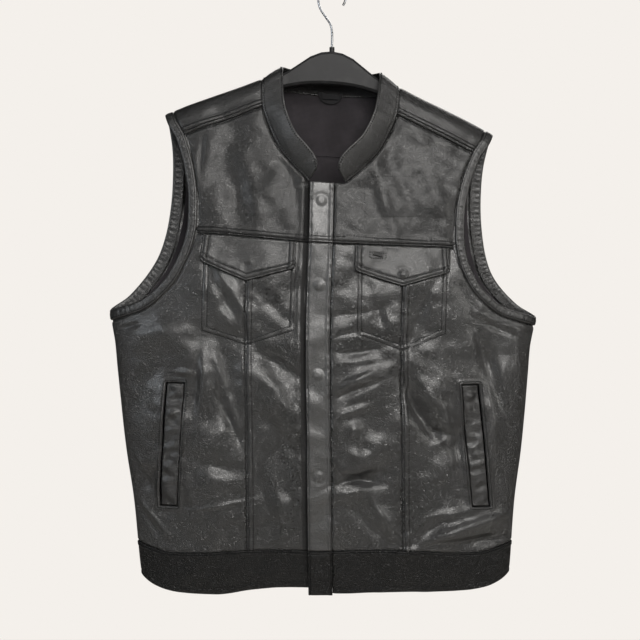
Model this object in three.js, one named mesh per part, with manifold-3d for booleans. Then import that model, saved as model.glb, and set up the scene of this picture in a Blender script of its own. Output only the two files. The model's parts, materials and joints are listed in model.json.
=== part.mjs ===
// A black leather vest with snap front, stand collar, flap pockets and welt pockets, hanging on a
// plastic coat hanger with a steel hook. Every panel is a wall on one common form: the flattened
// body of the hanging vest, given by its half-width and its front and back depths at each height.
//
// Frame, in millimetres: the origin is the underside of the hook's crown, where the rod touches it.
// +Z is up, the vest's front faces -Y, and the wearer's left is +X.
// On the form, u is the distance from the centre front towards the wearer's left, z is the height,
// and side says which face: FRONT or BACK.

import * as THREE from "three";
import { mergeVertices } from "three/addons/utils/BufferGeometryUtils.js";
import Module from "manifold-3d";

const FRONT = -1;
const BACK = 1;

// Leather and seams
const LEATHER = 2;
const SEAM_GAP = 0.3;
const PLACKET_THICKNESS = 3;
const CLOSURE_RISE = 5.4; // how far the left front's edge stands above the right front that it covers
const CLOSURE_FADE = 80;
const FLAP_THICKNESS = 2.5;
const FLAP_RISE = 3;

// Levels and lines of the cut
const CHEST_SEAM_Z = -344;
const CHEST_SEAM_RISE = 4;
const NECK_FRONT_Z = -266;
const WAIST_SEAM_Z = -738;
const PRINCESS_U = 100;
const PLACKET_EDGE_U = -22;
const PLACKET_SEAM_U = 9;
const UNDERLAP_U = 12;
const YOKE_FRONT_DROP = 39.3;
const YOKE_BACK_DROP = 12.1;

// The form's section is a flattened round: the larger the number, the squarer its sides
const SQUARENESS = 3.5;
const RIDGE_ROUND = 22;

// The filled-out body of the hanging vest
const BODY = [
  { z: -90, halfWidth: 262, front: 20, back: 20 },
  { z: -140, halfWidth: 262, front: 24, back: 24 },
  { z: -185, halfWidth: 262, front: 28, back: 27 },
  { z: -260, halfWidth: 266, front: 36, back: 31 },
  { z: -345, halfWidth: 272, front: 43, back: 34 },
  { z: -440, halfWidth: 279, front: 46, back: 36 },
  { z: -475, halfWidth: 273.5, front: 46, back: 36 },
  { z: -510, halfWidth: 270.5, front: 46, back: 36 },
  { z: -610, halfWidth: 260.5, front: 45, back: 35 },
  { z: -677, halfWidth: 251, front: 43, back: 34 },
  { z: -763, halfWidth: 243.6, front: 40, back: 33 },
  { z: -800, halfWidth: 239, front: 38, back: 32 },
];

// The shoulder line, from the centre of the neck out past the shoulder's end
const RIDGE = [
  { u: 0, z: -95 },
  { u: 89.5, z: -131.5 },
  { u: 121, z: -145.5 },
  { u: 150, z: -157.5 },
  { u: 184, z: -172 },
  { u: 206, z: -182 },
  { u: 262, z: -202 },
];

// How the vest hangs: its centre front's place, and its slope down towards the wearer's left
const HANG = [
  { z: -90, centre: 0, tilt: 0.061 },
  { z: -260, centre: -6.5, tilt: 0.061 },
  { z: -345, centre: -8.5, tilt: 0.058 },
  { z: -440, centre: -12, tilt: 0.014 },
  { z: -560, centre: -11.5, tilt: 0.006 },
  { z: -700, centre: -10, tilt: 0 },
  { z: -810, centre: -8.5, tilt: 0 },
];

// The armhole's seam with its binding, from the yoke's front seam down to the armpit and up the back
const ARMHOLE = [
  { place: "yoke front seam", u: 187, z: -212.6, side: FRONT },
  { place: "front", u: 175.5, z: -244, side: FRONT },
  { place: "front", u: 167.5, z: -282, side: FRONT },
  { place: "front", u: 166, z: -314, side: FRONT },
  { place: "chest seam", u: 167.5, z: -340, side: FRONT },
  { place: "front", u: 177, z: -372, side: FRONT },
  { place: "front", u: 196, z: -404, side: FRONT },
  { place: "front", u: 226, z: -429.5, side: FRONT },
  { place: "front", u: 258, z: -441, side: FRONT },
  { place: "armpit", u: 279, z: -446, side: FRONT },
  { place: "back", u: 262, z: -433, side: BACK },
  { place: "back", u: 240, z: -413, side: BACK },
  { place: "back", u: 217, z: -382, side: BACK },
  { place: "back", u: 203, z: -345, side: BACK },
  { place: "back", u: 196, z: -300, side: BACK },
  { place: "back", u: 194.5, z: -256, side: BACK },
  { place: "back", u: 196.5, z: -222, side: BACK },
  { place: "yoke back seam", u: 202, z: -192.5, side: BACK },
];

// The yoke over the shoulder: arc length over the ridge, positive to the front, and its two ends
const YOKE = [
  { over: 51.6, neck: 87, arm: 187 },
  { over: 24, neck: 89, arm: 200 },
  { over: 0, neck: 89.5, arm: 205 },
  { over: -12, neck: 86.5, arm: 204.5 },
  { over: -24, neck: 72, arm: 202 },
];
const YOKE_COLUMNS = 7;
const YOKE_STEPS = [51.6, 43, 34, 26, 19, 12, 6, 0, -6, -12, -18, -24];

// The front neckline's seam with the collar, from the yoke down to the centre front
const NECK_FRONT = [
  { u: 87, z: -170.5 },
  { u: 80.8, z: -190.4 },
  { u: 66.3, z: -220.2 },
  { u: 47.6, z: -242.8 },
  { u: 22.5, z: -265.6 },
];

// The back neckline, from the yoke to the centre back
const NECK_BACK = [
  { u: 50, z: -137.6 },
  { u: 25, z: -139.2 },
  { u: 0, z: -139.8 },
];

// The collar: its seam on the neckline, and its free edge, from the centre front to the centre back
const LINING = { thickness: 1, gap: 2, slack: 4, inset: 4 };
const PATCH_THICKNESS = 0.8;
const NECK_LABEL = { fromU: -34, toU: 30, topZ: -222, bottomZ: -268 };
const SIZE_TAB = { fromU: -11, toU: 11, topZ: -140, bottomZ: -147 };
// The hanging loop: a narrow strap that sags below the back neck, inside
const LOOP = { halfSpan: 14, sag: 13, width: 6, thickness: 1.6, depth: 5.3, topZ: -138 };
const COLLAR_THICKNESS = 3;
const COLLAR = [
  { seamU: 22.5, seamZ: -264, side: FRONT, edgeU: 12, edgeY: -50, edgeZ: -247 },
  { seamU: 35, seamZ: -252.4, side: FRONT, edgeU: 17, edgeY: -51, edgeZ: -233 },
  { seamU: 46.5, seamZ: -241, side: FRONT, edgeU: 27, edgeY: -51, edgeZ: -221 },
  { seamU: 64.8, seamZ: -218.8, side: FRONT, edgeU: 43, edgeY: -49, edgeZ: -203 },
  { seamU: 79.2, seamZ: -189.6, side: FRONT, edgeU: 55, edgeY: -44, edgeZ: -177 },
  { seamU: 86.2, seamZ: -168, side: FRONT, edgeU: 60, edgeY: -36, edgeZ: -154 },
  { seamU: 88.3, seamZ: -145, side: FRONT, edgeU: 62.5, edgeY: -22, edgeZ: -127 },
  { seamU: 88.6, seamZ: -135.5, side: FRONT, edgeU: 63, edgeY: -11, edgeZ: -117.5 },
  { seamU: 88.7, seamZ: -131.1, side: FRONT, edgeU: 63.5, edgeY: 0, edgeZ: -112.5 },
  { seamU: 87.2, seamZ: -132.2, side: BACK, edgeU: 62, edgeY: 9, edgeZ: -110.5 },
  { seamU: 80.5, seamZ: -134.2, side: BACK, edgeU: 57, edgeY: 17, edgeZ: -110 },
  { seamU: 70.5, seamZ: -135.2, side: BACK, edgeU: 50, edgeY: 22, edgeZ: -110 },
  { seamU: 49, seamZ: -136.4, side: BACK, edgeU: 36, edgeY: 26.5, edgeZ: -110.5 },
  { seamU: 25, seamZ: -138, side: BACK, edgeU: 19, edgeY: 28.5, edgeZ: -111.5 },
  { seamU: 0, seamZ: -138.6, side: BACK, edgeU: 0, edgeY: 29, edgeZ: -112 },
];

// The hem band's seam and its bottom edge, from the centre front to the side
const HEM = [
  { u: 0, seam: -738, bottom: -794 },
  { u: 100, seam: -738, bottom: -794 },
  { u: 160, seam: -742, bottom: -794.5 },
  { u: 205, seam: -742, bottom: -790.5 },
  { u: 232, seam: -736, bottom: -782 },
  { u: 250, seam: -730, bottom: -770 },
];

// The pocket flap's outline, and the welt's window
const FLAP = { innerU: 38, outerU: 157, flareU: 3, topDrop: 2, sideDrop: 34, pointU: 100, pointDrop: 52 };
const WELT = { topU: 190, bottomU: 202.5, topZ: -524, bottomZ: -683, width: 24 };

// Soft folds of the hanging leather. Depth is above zero for a ridge, below zero for a trough.
// Slant is the angle that a fold's length makes with the level, turning up to the wearer's left.
const FOLDS = [
  { side: FRONT, u: -128, z: -520, length: 62, width: 17, slant: -72, depth: -7 },
  { side: FRONT, u: -152, z: -505, length: 55, width: 20, slant: -80, depth: 5 },
  { side: FRONT, u: -66, z: -500, length: 46, width: 15, slant: -35, depth: -6 },
  { side: FRONT, u: -62, z: -552, length: 55, width: 18, slant: -62, depth: 6 },
  { side: FRONT, u: -80, z: -650, length: 70, width: 26, slant: -80, depth: -4 },
  { side: FRONT, u: -150, z: -640, length: 60, width: 30, slant: -70, depth: 5 },
  { side: FRONT, u: -235, z: -470, length: 60, width: 16, slant: 25, depth: 4 },
  { side: FRONT, u: -228, z: -660, length: 55, width: 14, slant: -55, depth: -5 },
  { side: FRONT, u: 57, z: -520, length: 34, width: 14, slant: 15, depth: 5 },
  { side: FRONT, u: 55, z: -642, length: 30, width: 13, slant: 4, depth: -7 },
  { side: FRONT, u: 60, z: -610, length: 34, width: 18, slant: 20, depth: 5 },
  { side: FRONT, u: 128, z: -566, length: 40, width: 13, slant: -58, depth: -7 },
  { side: FRONT, u: 150, z: -600, length: 36, width: 15, slant: -5, depth: -4 },
  { side: FRONT, u: 215, z: -500, length: 80, width: 17, slant: 78, depth: -7 },
  { side: FRONT, u: 176, z: -716, length: 70, width: 15, slant: 20, depth: 7 },
  { side: FRONT, u: 205, z: -728, length: 60, width: 11, slant: 14, depth: -5 },
  { side: FRONT, u: 78, z: -290, length: 70, width: 24, slant: 72, depth: 3 },
  { side: FRONT, u: -120, z: -262, length: 60, width: 26, slant: -75, depth: -3 },
  { side: BACK, u: -120, z: -470, length: 120, width: 34, slant: -78, depth: -6 },
  { side: BACK, u: 118, z: -430, length: 110, width: 30, slant: 80, depth: -6 },
  { side: BACK, u: 10, z: -560, length: 150, width: 40, slant: 86, depth: 4 },
  { side: BACK, u: -60, z: -640, length: 80, width: 26, slant: -70, depth: 5 },
  { side: BACK, u: 190, z: -560, length: 90, width: 26, slant: 68, depth: 5 },
  { side: BACK, u: -195, z: -600, length: 80, width: 24, slant: -66, depth: -5 },
];

// Snaps of the front closure, from the top, and the snap under each flap
const SNAP = { u: -6.5, heights: [-290, -398, -512, -642, -768], radius: 6.2 };
const FLAP_SNAP = { u: 100, z: -379, radius: 6.2 };

// Coat hanger
const HANGER = [
  { u: 0, top: -88, bottom: -131.5 },
  { u: 12, top: -89.5, bottom: -131.8 },
  { u: 26, top: -95, bottom: -132.8 },
  { u: 40, top: -105, bottom: -134.8 },
  { u: 54, top: -115.5, bottom: -138 },
  { u: 72, top: -126, bottom: -143.5 },
  { u: 96, top: -137, bottom: -153 },
  { u: 150, top: -160, bottom: -179 },
  { u: 196, top: -180, bottom: -199 },
];
const HANGER_TIP_U = 196;
const HANGER_WEB_DEPTH = 9;
const HANGER_STEP_U = 14;
const HANGER_SEAT_GAP = 0.35;
const NECK_BOSS = { radius: 3.4, top: -82.5, bottom: -94 };
const WIRE_RADIUS = 1.5;
const HOOK_RADIUS = 18;
const SHANK_DEPTH_Z = -101;

const COLOURS = {
  leather: { color: 0x16171a, roughness: 0.42, metalness: 0 },
  lining: { color: 0x17161a, roughness: 0.9, metalness: 0 },
  label: { color: 0x141314, roughness: 0.8, metalness: 0 },
  plastic: { color: 0x2a2a2b, roughness: 0.5, metalness: 0 },
  steel: { color: 0xb9bcc0, roughness: 0.25, metalness: 1 },
  snap: { color: 0x3a3a3d, roughness: 0.35, metalness: 1 },
};

// A smooth curve through a table: its first column is the key, the others are what it gives
function profile(rows) {
  const [key, ...columns] = Object.keys(rows[0]);
  const sorted = [...rows].sort((a, b) => a[key] - b[key]);
  const spline = new THREE.CubicInterpolant(
    sorted.map((row) => row[key]),
    sorted.flatMap((row) => columns.map((column) => row[column])),
    columns.length,
  );
  return (at) => {
    const values = spline.evaluate(at);
    return Object.fromEntries(columns.map((column, i) => [column, values[i]]));
  };
}

const bodyAt = profile(BODY);
const ridgeProfile = profile(RIDGE);
const hangAt = profile(HANG);
const yokeAt = profile(YOKE);
const hemAt = profile(HEM);
const hangerAt = profile(HANGER);
const ridgeAt = (u) => ridgeProfile(Math.abs(u)).z;
const smooth = THREE.MathUtils.smoothstep;

// How full the form is at a place, as a share of its full depth squared: zero at its side and ridge
function fullness(u, z) {
  const across = 1 - (Math.abs(u) / bodyAt(z).halfWidth) ** SQUARENESS;
  const below = Math.min((ridgeAt(u) - z) / RIDGE_ROUND, 1);
  return { across, over: 1 - (1 - below) ** 2 };
}

// Below zero inside the form, zero on it, above zero outside
function formField(u, y, z) {
  const { front, back } = bodyAt(z);
  const { across, over } = fullness(u, z);
  return (y / (y < 0 ? front : back)) ** 2 - across * over;
}

// Height of the folds over the form, fading out where the form turns round
function foldHeight(u, z, side) {
  const { across, over } = fullness(u, z);
  const fade = THREE.MathUtils.clamp(2.5 * across, 0, 1) * THREE.MathUtils.clamp(over, 0, 1);
  let height = 0;
  for (const fold of FOLDS) {
    if (fold.side !== side) continue;
    const slant = THREE.MathUtils.degToRad(fold.slant);
    const du = u - fold.u;
    const dz = z - fold.z;
    const along = (du * Math.cos(slant) + dz * Math.sin(slant)) / fold.length;
    const athwart = (dz * Math.cos(slant) - du * Math.sin(slant)) / fold.width;
    height += fold.depth * Math.exp(-(along ** 2) - athwart ** 2);
  }
  return fade * height;
}

// Where a point of the vest hangs
function hung(u, y, z) {
  const { centre, tilt } = hangAt(z);
  return new THREE.Vector3(u + centre, y, z - tilt * u);
}

// The form's point at u and z on one side, with its folds, and its outward normal
function formPoint(u, z, side) {
  const { front, back } = bodyAt(z);
  const { across, over } = fullness(u, z);
  const y = side * (side === FRONT ? front : back) * Math.sqrt(Math.max(across * over, 0));
  const h = 0.01;
  const normal = new THREE.Vector3(
    formField(u + h, y, z) - formField(u - h, y, z),
    formField(u, y + h, z) - formField(u, y - h, z),
    formField(u, y, z + h) - formField(u, y, z - h),
  ).normalize();
  const point = new THREE.Vector3(u, y, z).addScaledVector(normal, foldHeight(u, z, side));
  const slope = new THREE.Vector3(
    (foldHeight(u + 1, z, side) - foldHeight(u - 1, z, side)) / 2,
    0,
    (foldHeight(u, z + 1, side) - foldHeight(u, z - 1, side)) / 2,
  );
  slope.addScaledVector(normal, -slope.dot(normal));
  return { point, normal: normal.sub(slope).normalize() };
}

// The hung place of a point that lies `lift` outside the form's face
function onForm({ u, z, side }, lift = 0) {
  const { point, normal } = formPoint(u, z, side);
  point.addScaledVector(normal, lift);
  return hung(point.x, point.y, point.z);
}

// Round the body: turn is zero at the centre front, a quarter turn at the side, a half at the back
function aroundBody([turn, z]) {
  return { u: bodyAt(z).halfWidth * Math.sin(turn), z, side: Math.cos(turn) < 0 ? BACK : FRONT };
}

function turnAt({ u, z, side = FRONT }) {
  const turn = Math.asin(THREE.MathUtils.clamp(u / bodyAt(z).halfWidth, -1, 1));
  return [side === FRONT ? turn : Math.PI - turn, z];
}

// Over the shoulder: arc length from the ridge, positive to the front
function overShoulder([u, over]) {
  const quarter = (Math.PI / 2) * RIDGE_ROUND;
  const arc = Math.abs(over);
  const drop =
    arc < quarter ? RIDGE_ROUND * (1 - Math.cos(arc / RIDGE_ROUND)) : RIDGE_ROUND + arc - quarter;
  return { u, z: ridgeAt(u) - drop, side: over < 0 ? BACK : FRONT };
}

// Edges are functions from 0 to 1 that give a place as a pair of numbers
const line = (a, b) => (t) => [a[0] + (b[0] - a[0]) * t, a[1] + (b[1] - a[1]) * t];
const reversed = (edge) => (t) => edge(1 - t);
const part = (edge, from, to) => (t) => edge(from + (to - from) * t);

function through(places) {
  const spline = new THREE.SplineCurve(places.map(([a, b]) => new THREE.Vector2(a, b)));
  return (t) => spline.getPoint(t).toArray();
}

// Several edges end to end, each with its share of the whole
function chain(...links) {
  return (t) => {
    let start = 0;
    for (const { edge, share } of links) {
      if (t <= start + share + 1e-9) return edge(THREE.MathUtils.clamp((t - start) / share, 0, 1));
      start += share;
    }
    return links.at(-1).edge(1);
  };
}

// The place inside four edges, blended between those that face each other
function inside({ top, bottom, inner, outer }, s, r) {
  return [0, 1].map((i) => {
    const alongRows = (1 - r) * top(s)[i] + r * bottom(s)[i];
    const alongColumns = (1 - s) * inner(r)[i] + s * outer(r)[i];
    const corners =
      (1 - s) * ((1 - r) * top(0)[i] + r * bottom(0)[i]) + s * ((1 - r) * top(1)[i] + r * bottom(1)[i]);
    return alongRows + alongColumns - corners;
  });
}

// A closed body between an outer and an inner grid of points, rows first
function wallBetween(outer, inner) {
  const rows = outer.length;
  const columns = outer[0].length;
  const points = [...outer.flat(), ...inner.flat()];
  const outerIndex = (i, j) => i * columns + j;
  const innerIndex = (i, j) => rows * columns + i * columns + j;
  const index = [];
  const quad = (a, b, c, d) => index.push(a, b, c, a, c, d);
  for (let i = 0; i + 1 < rows; i++) {
    for (let j = 0; j + 1 < columns; j++) {
      quad(outerIndex(i, j), outerIndex(i + 1, j), outerIndex(i + 1, j + 1), outerIndex(i, j + 1));
      quad(innerIndex(i, j), innerIndex(i, j + 1), innerIndex(i + 1, j + 1), innerIndex(i + 1, j));
    }
  }
  for (let i = 0; i + 1 < rows; i++) {
    quad(outerIndex(i, 0), innerIndex(i, 0), innerIndex(i + 1, 0), outerIndex(i + 1, 0));
    const last = columns - 1;
    quad(outerIndex(i + 1, last), innerIndex(i + 1, last), innerIndex(i, last), outerIndex(i, last));
  }
  for (let j = 0; j + 1 < columns; j++) {
    quad(outerIndex(0, j + 1), innerIndex(0, j + 1), innerIndex(0, j), outerIndex(0, j));
    const last = rows - 1;
    quad(outerIndex(last, j), innerIndex(last, j), innerIndex(last, j + 1), outerIndex(last, j + 1));
  }
  return bodyOf(points, index);
}

// A closed body through sections of as many points each: a ring, or a bar with flat ends
function loft(sections, ring) {
  const count = sections[0].length;
  const index = [];
  const spans = ring ? sections.length : sections.length - 1;
  for (let i = 0; i < spans; i++) {
    const next = (i + 1) % sections.length;
    for (let j = 0; j < count; j++) {
      const k = (j + 1) % count;
      index.push(i * count + j, next * count + j, next * count + k);
      index.push(i * count + j, next * count + k, i * count + k);
    }
  }
  if (!ring) {
    const last = (sections.length - 1) * count;
    for (let j = 1; j + 1 < count; j++) {
      index.push(0, j, j + 1);
      index.push(last, last + j + 1, last + j);
    }
  }
  return bodyOf(sections.flat(), index);
}

// Faces turned to point out
function bodyOf(points, index) {
  let volume = 0;
  for (let i = 0; i < index.length; i += 3) {
    const [a, b, c] = [points[index[i]], points[index[i + 1]], points[index[i + 2]]];
    volume += a.dot(b.clone().cross(c)) / 6;
  }
  const turned = volume < 0 ? [...index].reverse() : index;
  const geometry = new THREE.BufferGeometry().setFromPoints(points).setIndex(turned);
  geometry.computeVertexNormals();
  return geometry;
}

const wasm = await Module();
wasm.setup();

function solidOf(geometry) {
  const bare = geometry.clone();
  bare.deleteAttribute("normal");
  bare.deleteAttribute("uv");
  const merged = mergeVertices(bare, 1e-4);
  return new wasm.Manifold(
    new wasm.Mesh({
      numProp: 3,
      vertProperties: merged.attributes.position.array,
      triVerts: new Uint32Array(merged.index.array),
    }),
  );
}

function geometryOf(solid) {
  const mesh = solid.getMesh();
  const geometry = new THREE.BufferGeometry();
  geometry.setAttribute("position", new THREE.BufferAttribute(mesh.vertProperties, 3));
  geometry.setIndex(new THREE.BufferAttribute(mesh.triVerts, 1));
  geometry.computeVertexNormals();
  return geometry;
}

const vest = new THREE.Group();

function add(name, geometry, finish) {
  const mesh = new THREE.Mesh(geometry, new THREE.MeshStandardMaterial(COLOURS[finish]));
  mesh.name = name;
  vest.add(mesh);
  return mesh;
}

// A wall on the form inside four edges. Lift is how far its outer face stands off the form.
function panel({ edges, rows, columns, lay = aroundBody, flip = 1, lift = () => 0, thickness = LEATHER }) {
  const grid = (offset) =>
    Array.from({ length: rows + 1 }, (_, i) =>
      Array.from({ length: columns + 1 }, (_, j) => {
        const s = j / columns;
        const r = i / rows;
        const place = lay(inside(edges, s, r));
        place.u *= flip;
        return onForm(place, lift(place.u, place.z, s, r) - offset);
      }),
    );
  return wallBetween(grid(0), grid(thickness));
}

// The left front's edge lies over the right front's, so it stands off the form towards the centre
const leftFrontRise = (u) => CLOSURE_RISE * (1 - smooth(u, UNDERLAP_U, CLOSURE_FADE));
const SIDES = [
  { name: "left", flip: 1, rise: leftFrontRise, centreU: PLACKET_SEAM_U + SEAM_GAP },
  { name: "right", flip: -1, rise: () => 0, centreU: -UNDERLAP_U },
];

// The armhole's seam as one smooth line in turns round the body and heights
const armholeSeam = through(ARMHOLE.map(turnAt));
const armholeRow = (place) => ARMHOLE.findIndex((row) => row.place === place);
const CHEST_KNOT = armholeRow("chest seam") / (ARMHOLE.length - 1);
const ARMPIT_KNOT = armholeRow("armpit") / (ARMHOLE.length - 1);
const CHEST_END_U = ARMHOLE[armholeRow("chest seam")].u;
const ARMPIT_Z = ARMHOLE[armholeRow("armpit")].z;

// Rows along each stretch of the armhole, the same on a panel's edge and on its binding
const ARMHOLE_SPANS = 2 * (ARMHOLE.length - 1);
const CHEST_ROWS = 14;
const FRONT_ARM_ROWS = ARMHOLE_SPANS * (ARMPIT_KNOT - CHEST_KNOT);
const BACK_ARM_ROWS = ARMHOLE_SPANS * (1 - ARMPIT_KNOT);
const SIDE_SEAM_ROWS = 12;
const CHEST_COLUMNS = 8;
const CENTRE_GRID = { rows: 22, columns: 6 };
const SIDE_COLUMNS = 10;
const LINING_GRID = { rows: 15, columns: 16 };
const BACK_ROWS = BACK_ARM_ROWS + SIDE_SEAM_ROWS;
const BACK_COLUMNS = 22;

// Heights of the chest seam and the waist seam, which rise a little towards the side
const chestSeamZ = (u) => CHEST_SEAM_Z + CHEST_SEAM_RISE * smooth(u, 0, CHEST_END_U);
const waistSeamZ = (u) => hemAt(Math.abs(u)).seam;
const hemBottomZ = (u) => hemAt(Math.abs(u)).bottom;

// A line across the front or back whose height is a function of u
function acrossAt(heightAt, fromU, toU, side = FRONT, shift = 0) {
  return (t) => {
    const u = fromU + (toU - fromU) * t;
    return turnAt({ u, z: heightAt(Math.abs(u)) + shift, side });
  };
}

function downAt(u, fromZ, toZ, side = FRONT) {
  return (t) => turnAt({ u, z: fromZ + (toZ - fromZ) * t, side });
}

// The side seam, where front and back meet, from the armpit to a lower height
const SIDE_TURN = Math.PI / 2;
const sideSeam = (toZ, gap) => line([SIDE_TURN - gap, ARMPIT_Z], [SIDE_TURN - gap, toZ]);
const SIDE_GAP_TURN = 0.005;
const SIDE_U_AT_WAIST = bodyAt(WAIST_SEAM_Z).halfWidth;

function shoulderYoke(side) {
  const ends = (column) => (t) => {
    const over = YOKE_STEPS[Math.round(t * (YOKE_STEPS.length - 1))];
    return [yokeAt(over)[column], over];
  };
  const neck = ends("neck");
  const arm = ends("arm");
  const gap = SEAM_GAP / 2;
  const kept = (over) => THREE.MathUtils.clamp(over, YOKE.at(-1).over + gap, YOKE[0].over - gap);
  const grow = (edge, u) => (t) => [edge(t)[0] + u, kept(edge(t)[1])];
  const edges = {
    inner: grow(neck, 0),
    outer: grow(arm, -gap),
    top: line(grow(neck, 0)(0), grow(arm, -gap)(0)),
    bottom: line(grow(neck, 0)(1), grow(arm, -gap)(1)),
  };
  const rows = YOKE_STEPS.length - 1;
  return panel({ edges, rows, columns: YOKE_COLUMNS, lay: overShoulder, flip: side.flip });
}

function chestPanel(side) {
  const gap = SEAM_GAP / 2;
  const seamZ = (u) => chestSeamZ(u) + gap;
  const neckline = through(NECK_FRONT.map(turnAt));
  const innerU = side.flip > 0 ? side.centreU : -UNDERLAP_U;
  const corner = turnAt({ u: innerU, z: NECK_FRONT_Z });
  const inner = chain(
    { edge: neckline, share: 9 / CHEST_ROWS },
    { edge: line(neckline(1), corner), share: 1 / CHEST_ROWS },
    { edge: downAt(innerU, NECK_FRONT_Z, seamZ(0)), share: 4 / CHEST_ROWS },
  );
  const outer = part(armholeSeam, 0, CHEST_KNOT);
  const shoulder = (t) => {
    const u = NECK_FRONT[0].u + (ARMHOLE[0].u - NECK_FRONT[0].u) * t;
    return turnAt({ u, z: ridgeAt(u) - YOKE_FRONT_DROP - gap });
  };
  const edges = {
    top: shoulder,
    bottom: acrossAt(seamZ, innerU, CHEST_END_U),
    inner,
    outer: (t) => [outer(t)[0], Math.max(outer(t)[1], seamZ(CHEST_END_U))],
  };
  return panel({ edges, rows: CHEST_ROWS, columns: CHEST_COLUMNS, flip: side.flip, lift: side.rise });
}

function centrePanel(side) {
  const gap = SEAM_GAP / 2;
  const top = (u) => chestSeamZ(u) - gap;
  const bottom = (u) => waistSeamZ(u) + gap;
  const outerU = PRINCESS_U - gap;
  const edges = {
    top: acrossAt(top, side.centreU, outerU),
    bottom: acrossAt(bottom, side.centreU, outerU),
    inner: downAt(side.centreU, top(0), bottom(0)),
    outer: downAt(outerU, top(outerU), bottom(outerU)),
  };
  return panel({ edges, ...CENTRE_GRID, flip: side.flip, lift: side.rise });
}

function sidePanel(side) {
  const gap = SEAM_GAP / 2;
  const top = (u) => chestSeamZ(u) - gap;
  const bottom = (u) => waistSeamZ(u) + gap;
  const innerU = PRINCESS_U + gap;
  const armhole = part(armholeSeam, CHEST_KNOT, ARMPIT_KNOT);
  const rows = FRONT_ARM_ROWS + SIDE_SEAM_ROWS;
  const outer = chain(
    { edge: armhole, share: FRONT_ARM_ROWS / rows },
    { edge: sideSeam(bottom(SIDE_U_AT_WAIST), SIDE_GAP_TURN), share: SIDE_SEAM_ROWS / rows },
  );
  const kept = (t) => {
    const [turn, z] = outer(t);
    return [Math.min(turn, SIDE_TURN - SIDE_GAP_TURN), Math.min(z, top(CHEST_END_U))];
  };
  const edges = {
    top: acrossAt(top, innerU, CHEST_END_U),
    bottom: (t) => {
      const from = turnAt({ u: innerU, z: bottom(innerU) })[0];
      const turn = from + (SIDE_TURN - SIDE_GAP_TURN - from) * t;
      return [turn, bottom(SIDE_U_AT_WAIST * Math.sin(turn))];
    },
    inner: downAt(innerU, top(innerU), bottom(innerU)),
    outer: kept,
  };
  return panel({ edges, rows, columns: SIDE_COLUMNS, flip: side.flip, lift: side.rise });
}

// A strip of the hem band, from one turn round the body to another
function hemStrip(fromTurn, toTurn, columns, { flip = 1, lift = () => 0, drop = 0 } = {}) {
  const gap = SEAM_GAP / 2;
  const seam = (turn) => waistSeamZ(bodyAt(WAIST_SEAM_Z).halfWidth * Math.sin(turn)) - gap;
  const foot = (turn) => hemBottomZ(bodyAt(WAIST_SEAM_Z).halfWidth * Math.sin(turn)) + drop;
  const turnOf = (t) => fromTurn + (toTurn - fromTurn) * t;
  const edges = {
    top: (t) => [turnOf(t), seam(turnOf(t))],
    bottom: (t) => [turnOf(t), foot(turnOf(t))],
    inner: line([fromTurn, seam(fromTurn)], [fromTurn, foot(fromTurn)]),
    outer: line([toTurn, seam(toTurn)], [toTurn, foot(toTurn)]),
  };
  return panel({ edges, rows: 3, columns, flip, lift });
}

// A stretch of the placket between two heights
function placketStrip(fromZ, toZ, rows) {
  const edges = {
    top: acrossAt(() => fromZ, PLACKET_EDGE_U, PLACKET_SEAM_U),
    bottom: acrossAt(() => toZ, PLACKET_EDGE_U, PLACKET_SEAM_U),
    inner: downAt(PLACKET_EDGE_U, fromZ, toZ),
    outer: downAt(PLACKET_SEAM_U, fromZ, toZ),
  };
  return panel({ edges, rows, columns: 3, lift: () => CLOSURE_RISE, thickness: PLACKET_THICKNESS });
}

function backEdges(bottomGap, inset = 0) {
  const yokeSeam = (t) => {
    const u = THREE.MathUtils.lerp(YOKE.at(-1).arm, YOKE.at(-1).neck, t);
    return turnAt({ u, z: ridgeAt(u) - YOKE_BACK_DROP - SEAM_GAP / 2 - inset, side: BACK });
  };
  const neckRows = NECK_BACK.map((row) => turnAt({ ...row, z: row.z - inset, side: BACK }));
  const neckline = through([yokeSeam(1), ...neckRows]);
  const mirrored = (edge) => (t) => {
    const [turn, z] = edge(1 - t);
    return [2 * Math.PI - turn, z];
  };
  const seamZ = (u) => waistSeamZ(u) + bottomGap;
  const farTurn = SIDE_TURN + SIDE_GAP_TURN + inset / 18;
  const down = chain(
    { edge: reversed(part(armholeSeam, ARMPIT_KNOT, 1)), share: BACK_ARM_ROWS / BACK_ROWS },
    {
      edge: line([SIDE_TURN, ARMPIT_Z], [SIDE_TURN, seamZ(SIDE_U_AT_WAIST)]),
      share: SIDE_SEAM_ROWS / BACK_ROWS,
    },
  );
  const outer = (t) => {
    const [turn, z] = down(t);
    return [Math.max(turn + inset / 120, farTurn), Math.min(z, yokeSeam(0)[1])];
  };
  const top = chain(
    { edge: yokeSeam, share: 6 / BACK_COLUMNS },
    { edge: neckline, share: 5 / BACK_COLUMNS },
    { edge: mirrored(neckline), share: 5 / BACK_COLUMNS },
    { edge: mirrored(yokeSeam), share: 6 / BACK_COLUMNS },
  );
  return {
    top,
    bottom: (t) => {
      const turn = farTurn + (2 * Math.PI - 2 * farTurn) * t;
      return [turn, seamZ(SIDE_U_AT_WAIST * Math.sin(turn))];
    },
    inner: outer,
    outer: (t) => {
      const [turn, z] = outer(t);
      return [2 * Math.PI - turn, z];
    },
  };
}

// How far inside the back panel's face the lining hangs, loosest in the middle of the back
function liningLift(u, z) {
  const across = Math.cos((Math.PI / 2) * (u / bodyAt(z).halfWidth));
  const down = Math.sin((Math.PI * (NECK_BACK.at(-1).z - z)) / (NECK_BACK.at(-1).z - WAIST_SEAM_Z));
  return -LEATHER - LINING.gap - LINING.slack * Math.max(across * down, 0);
}

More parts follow.
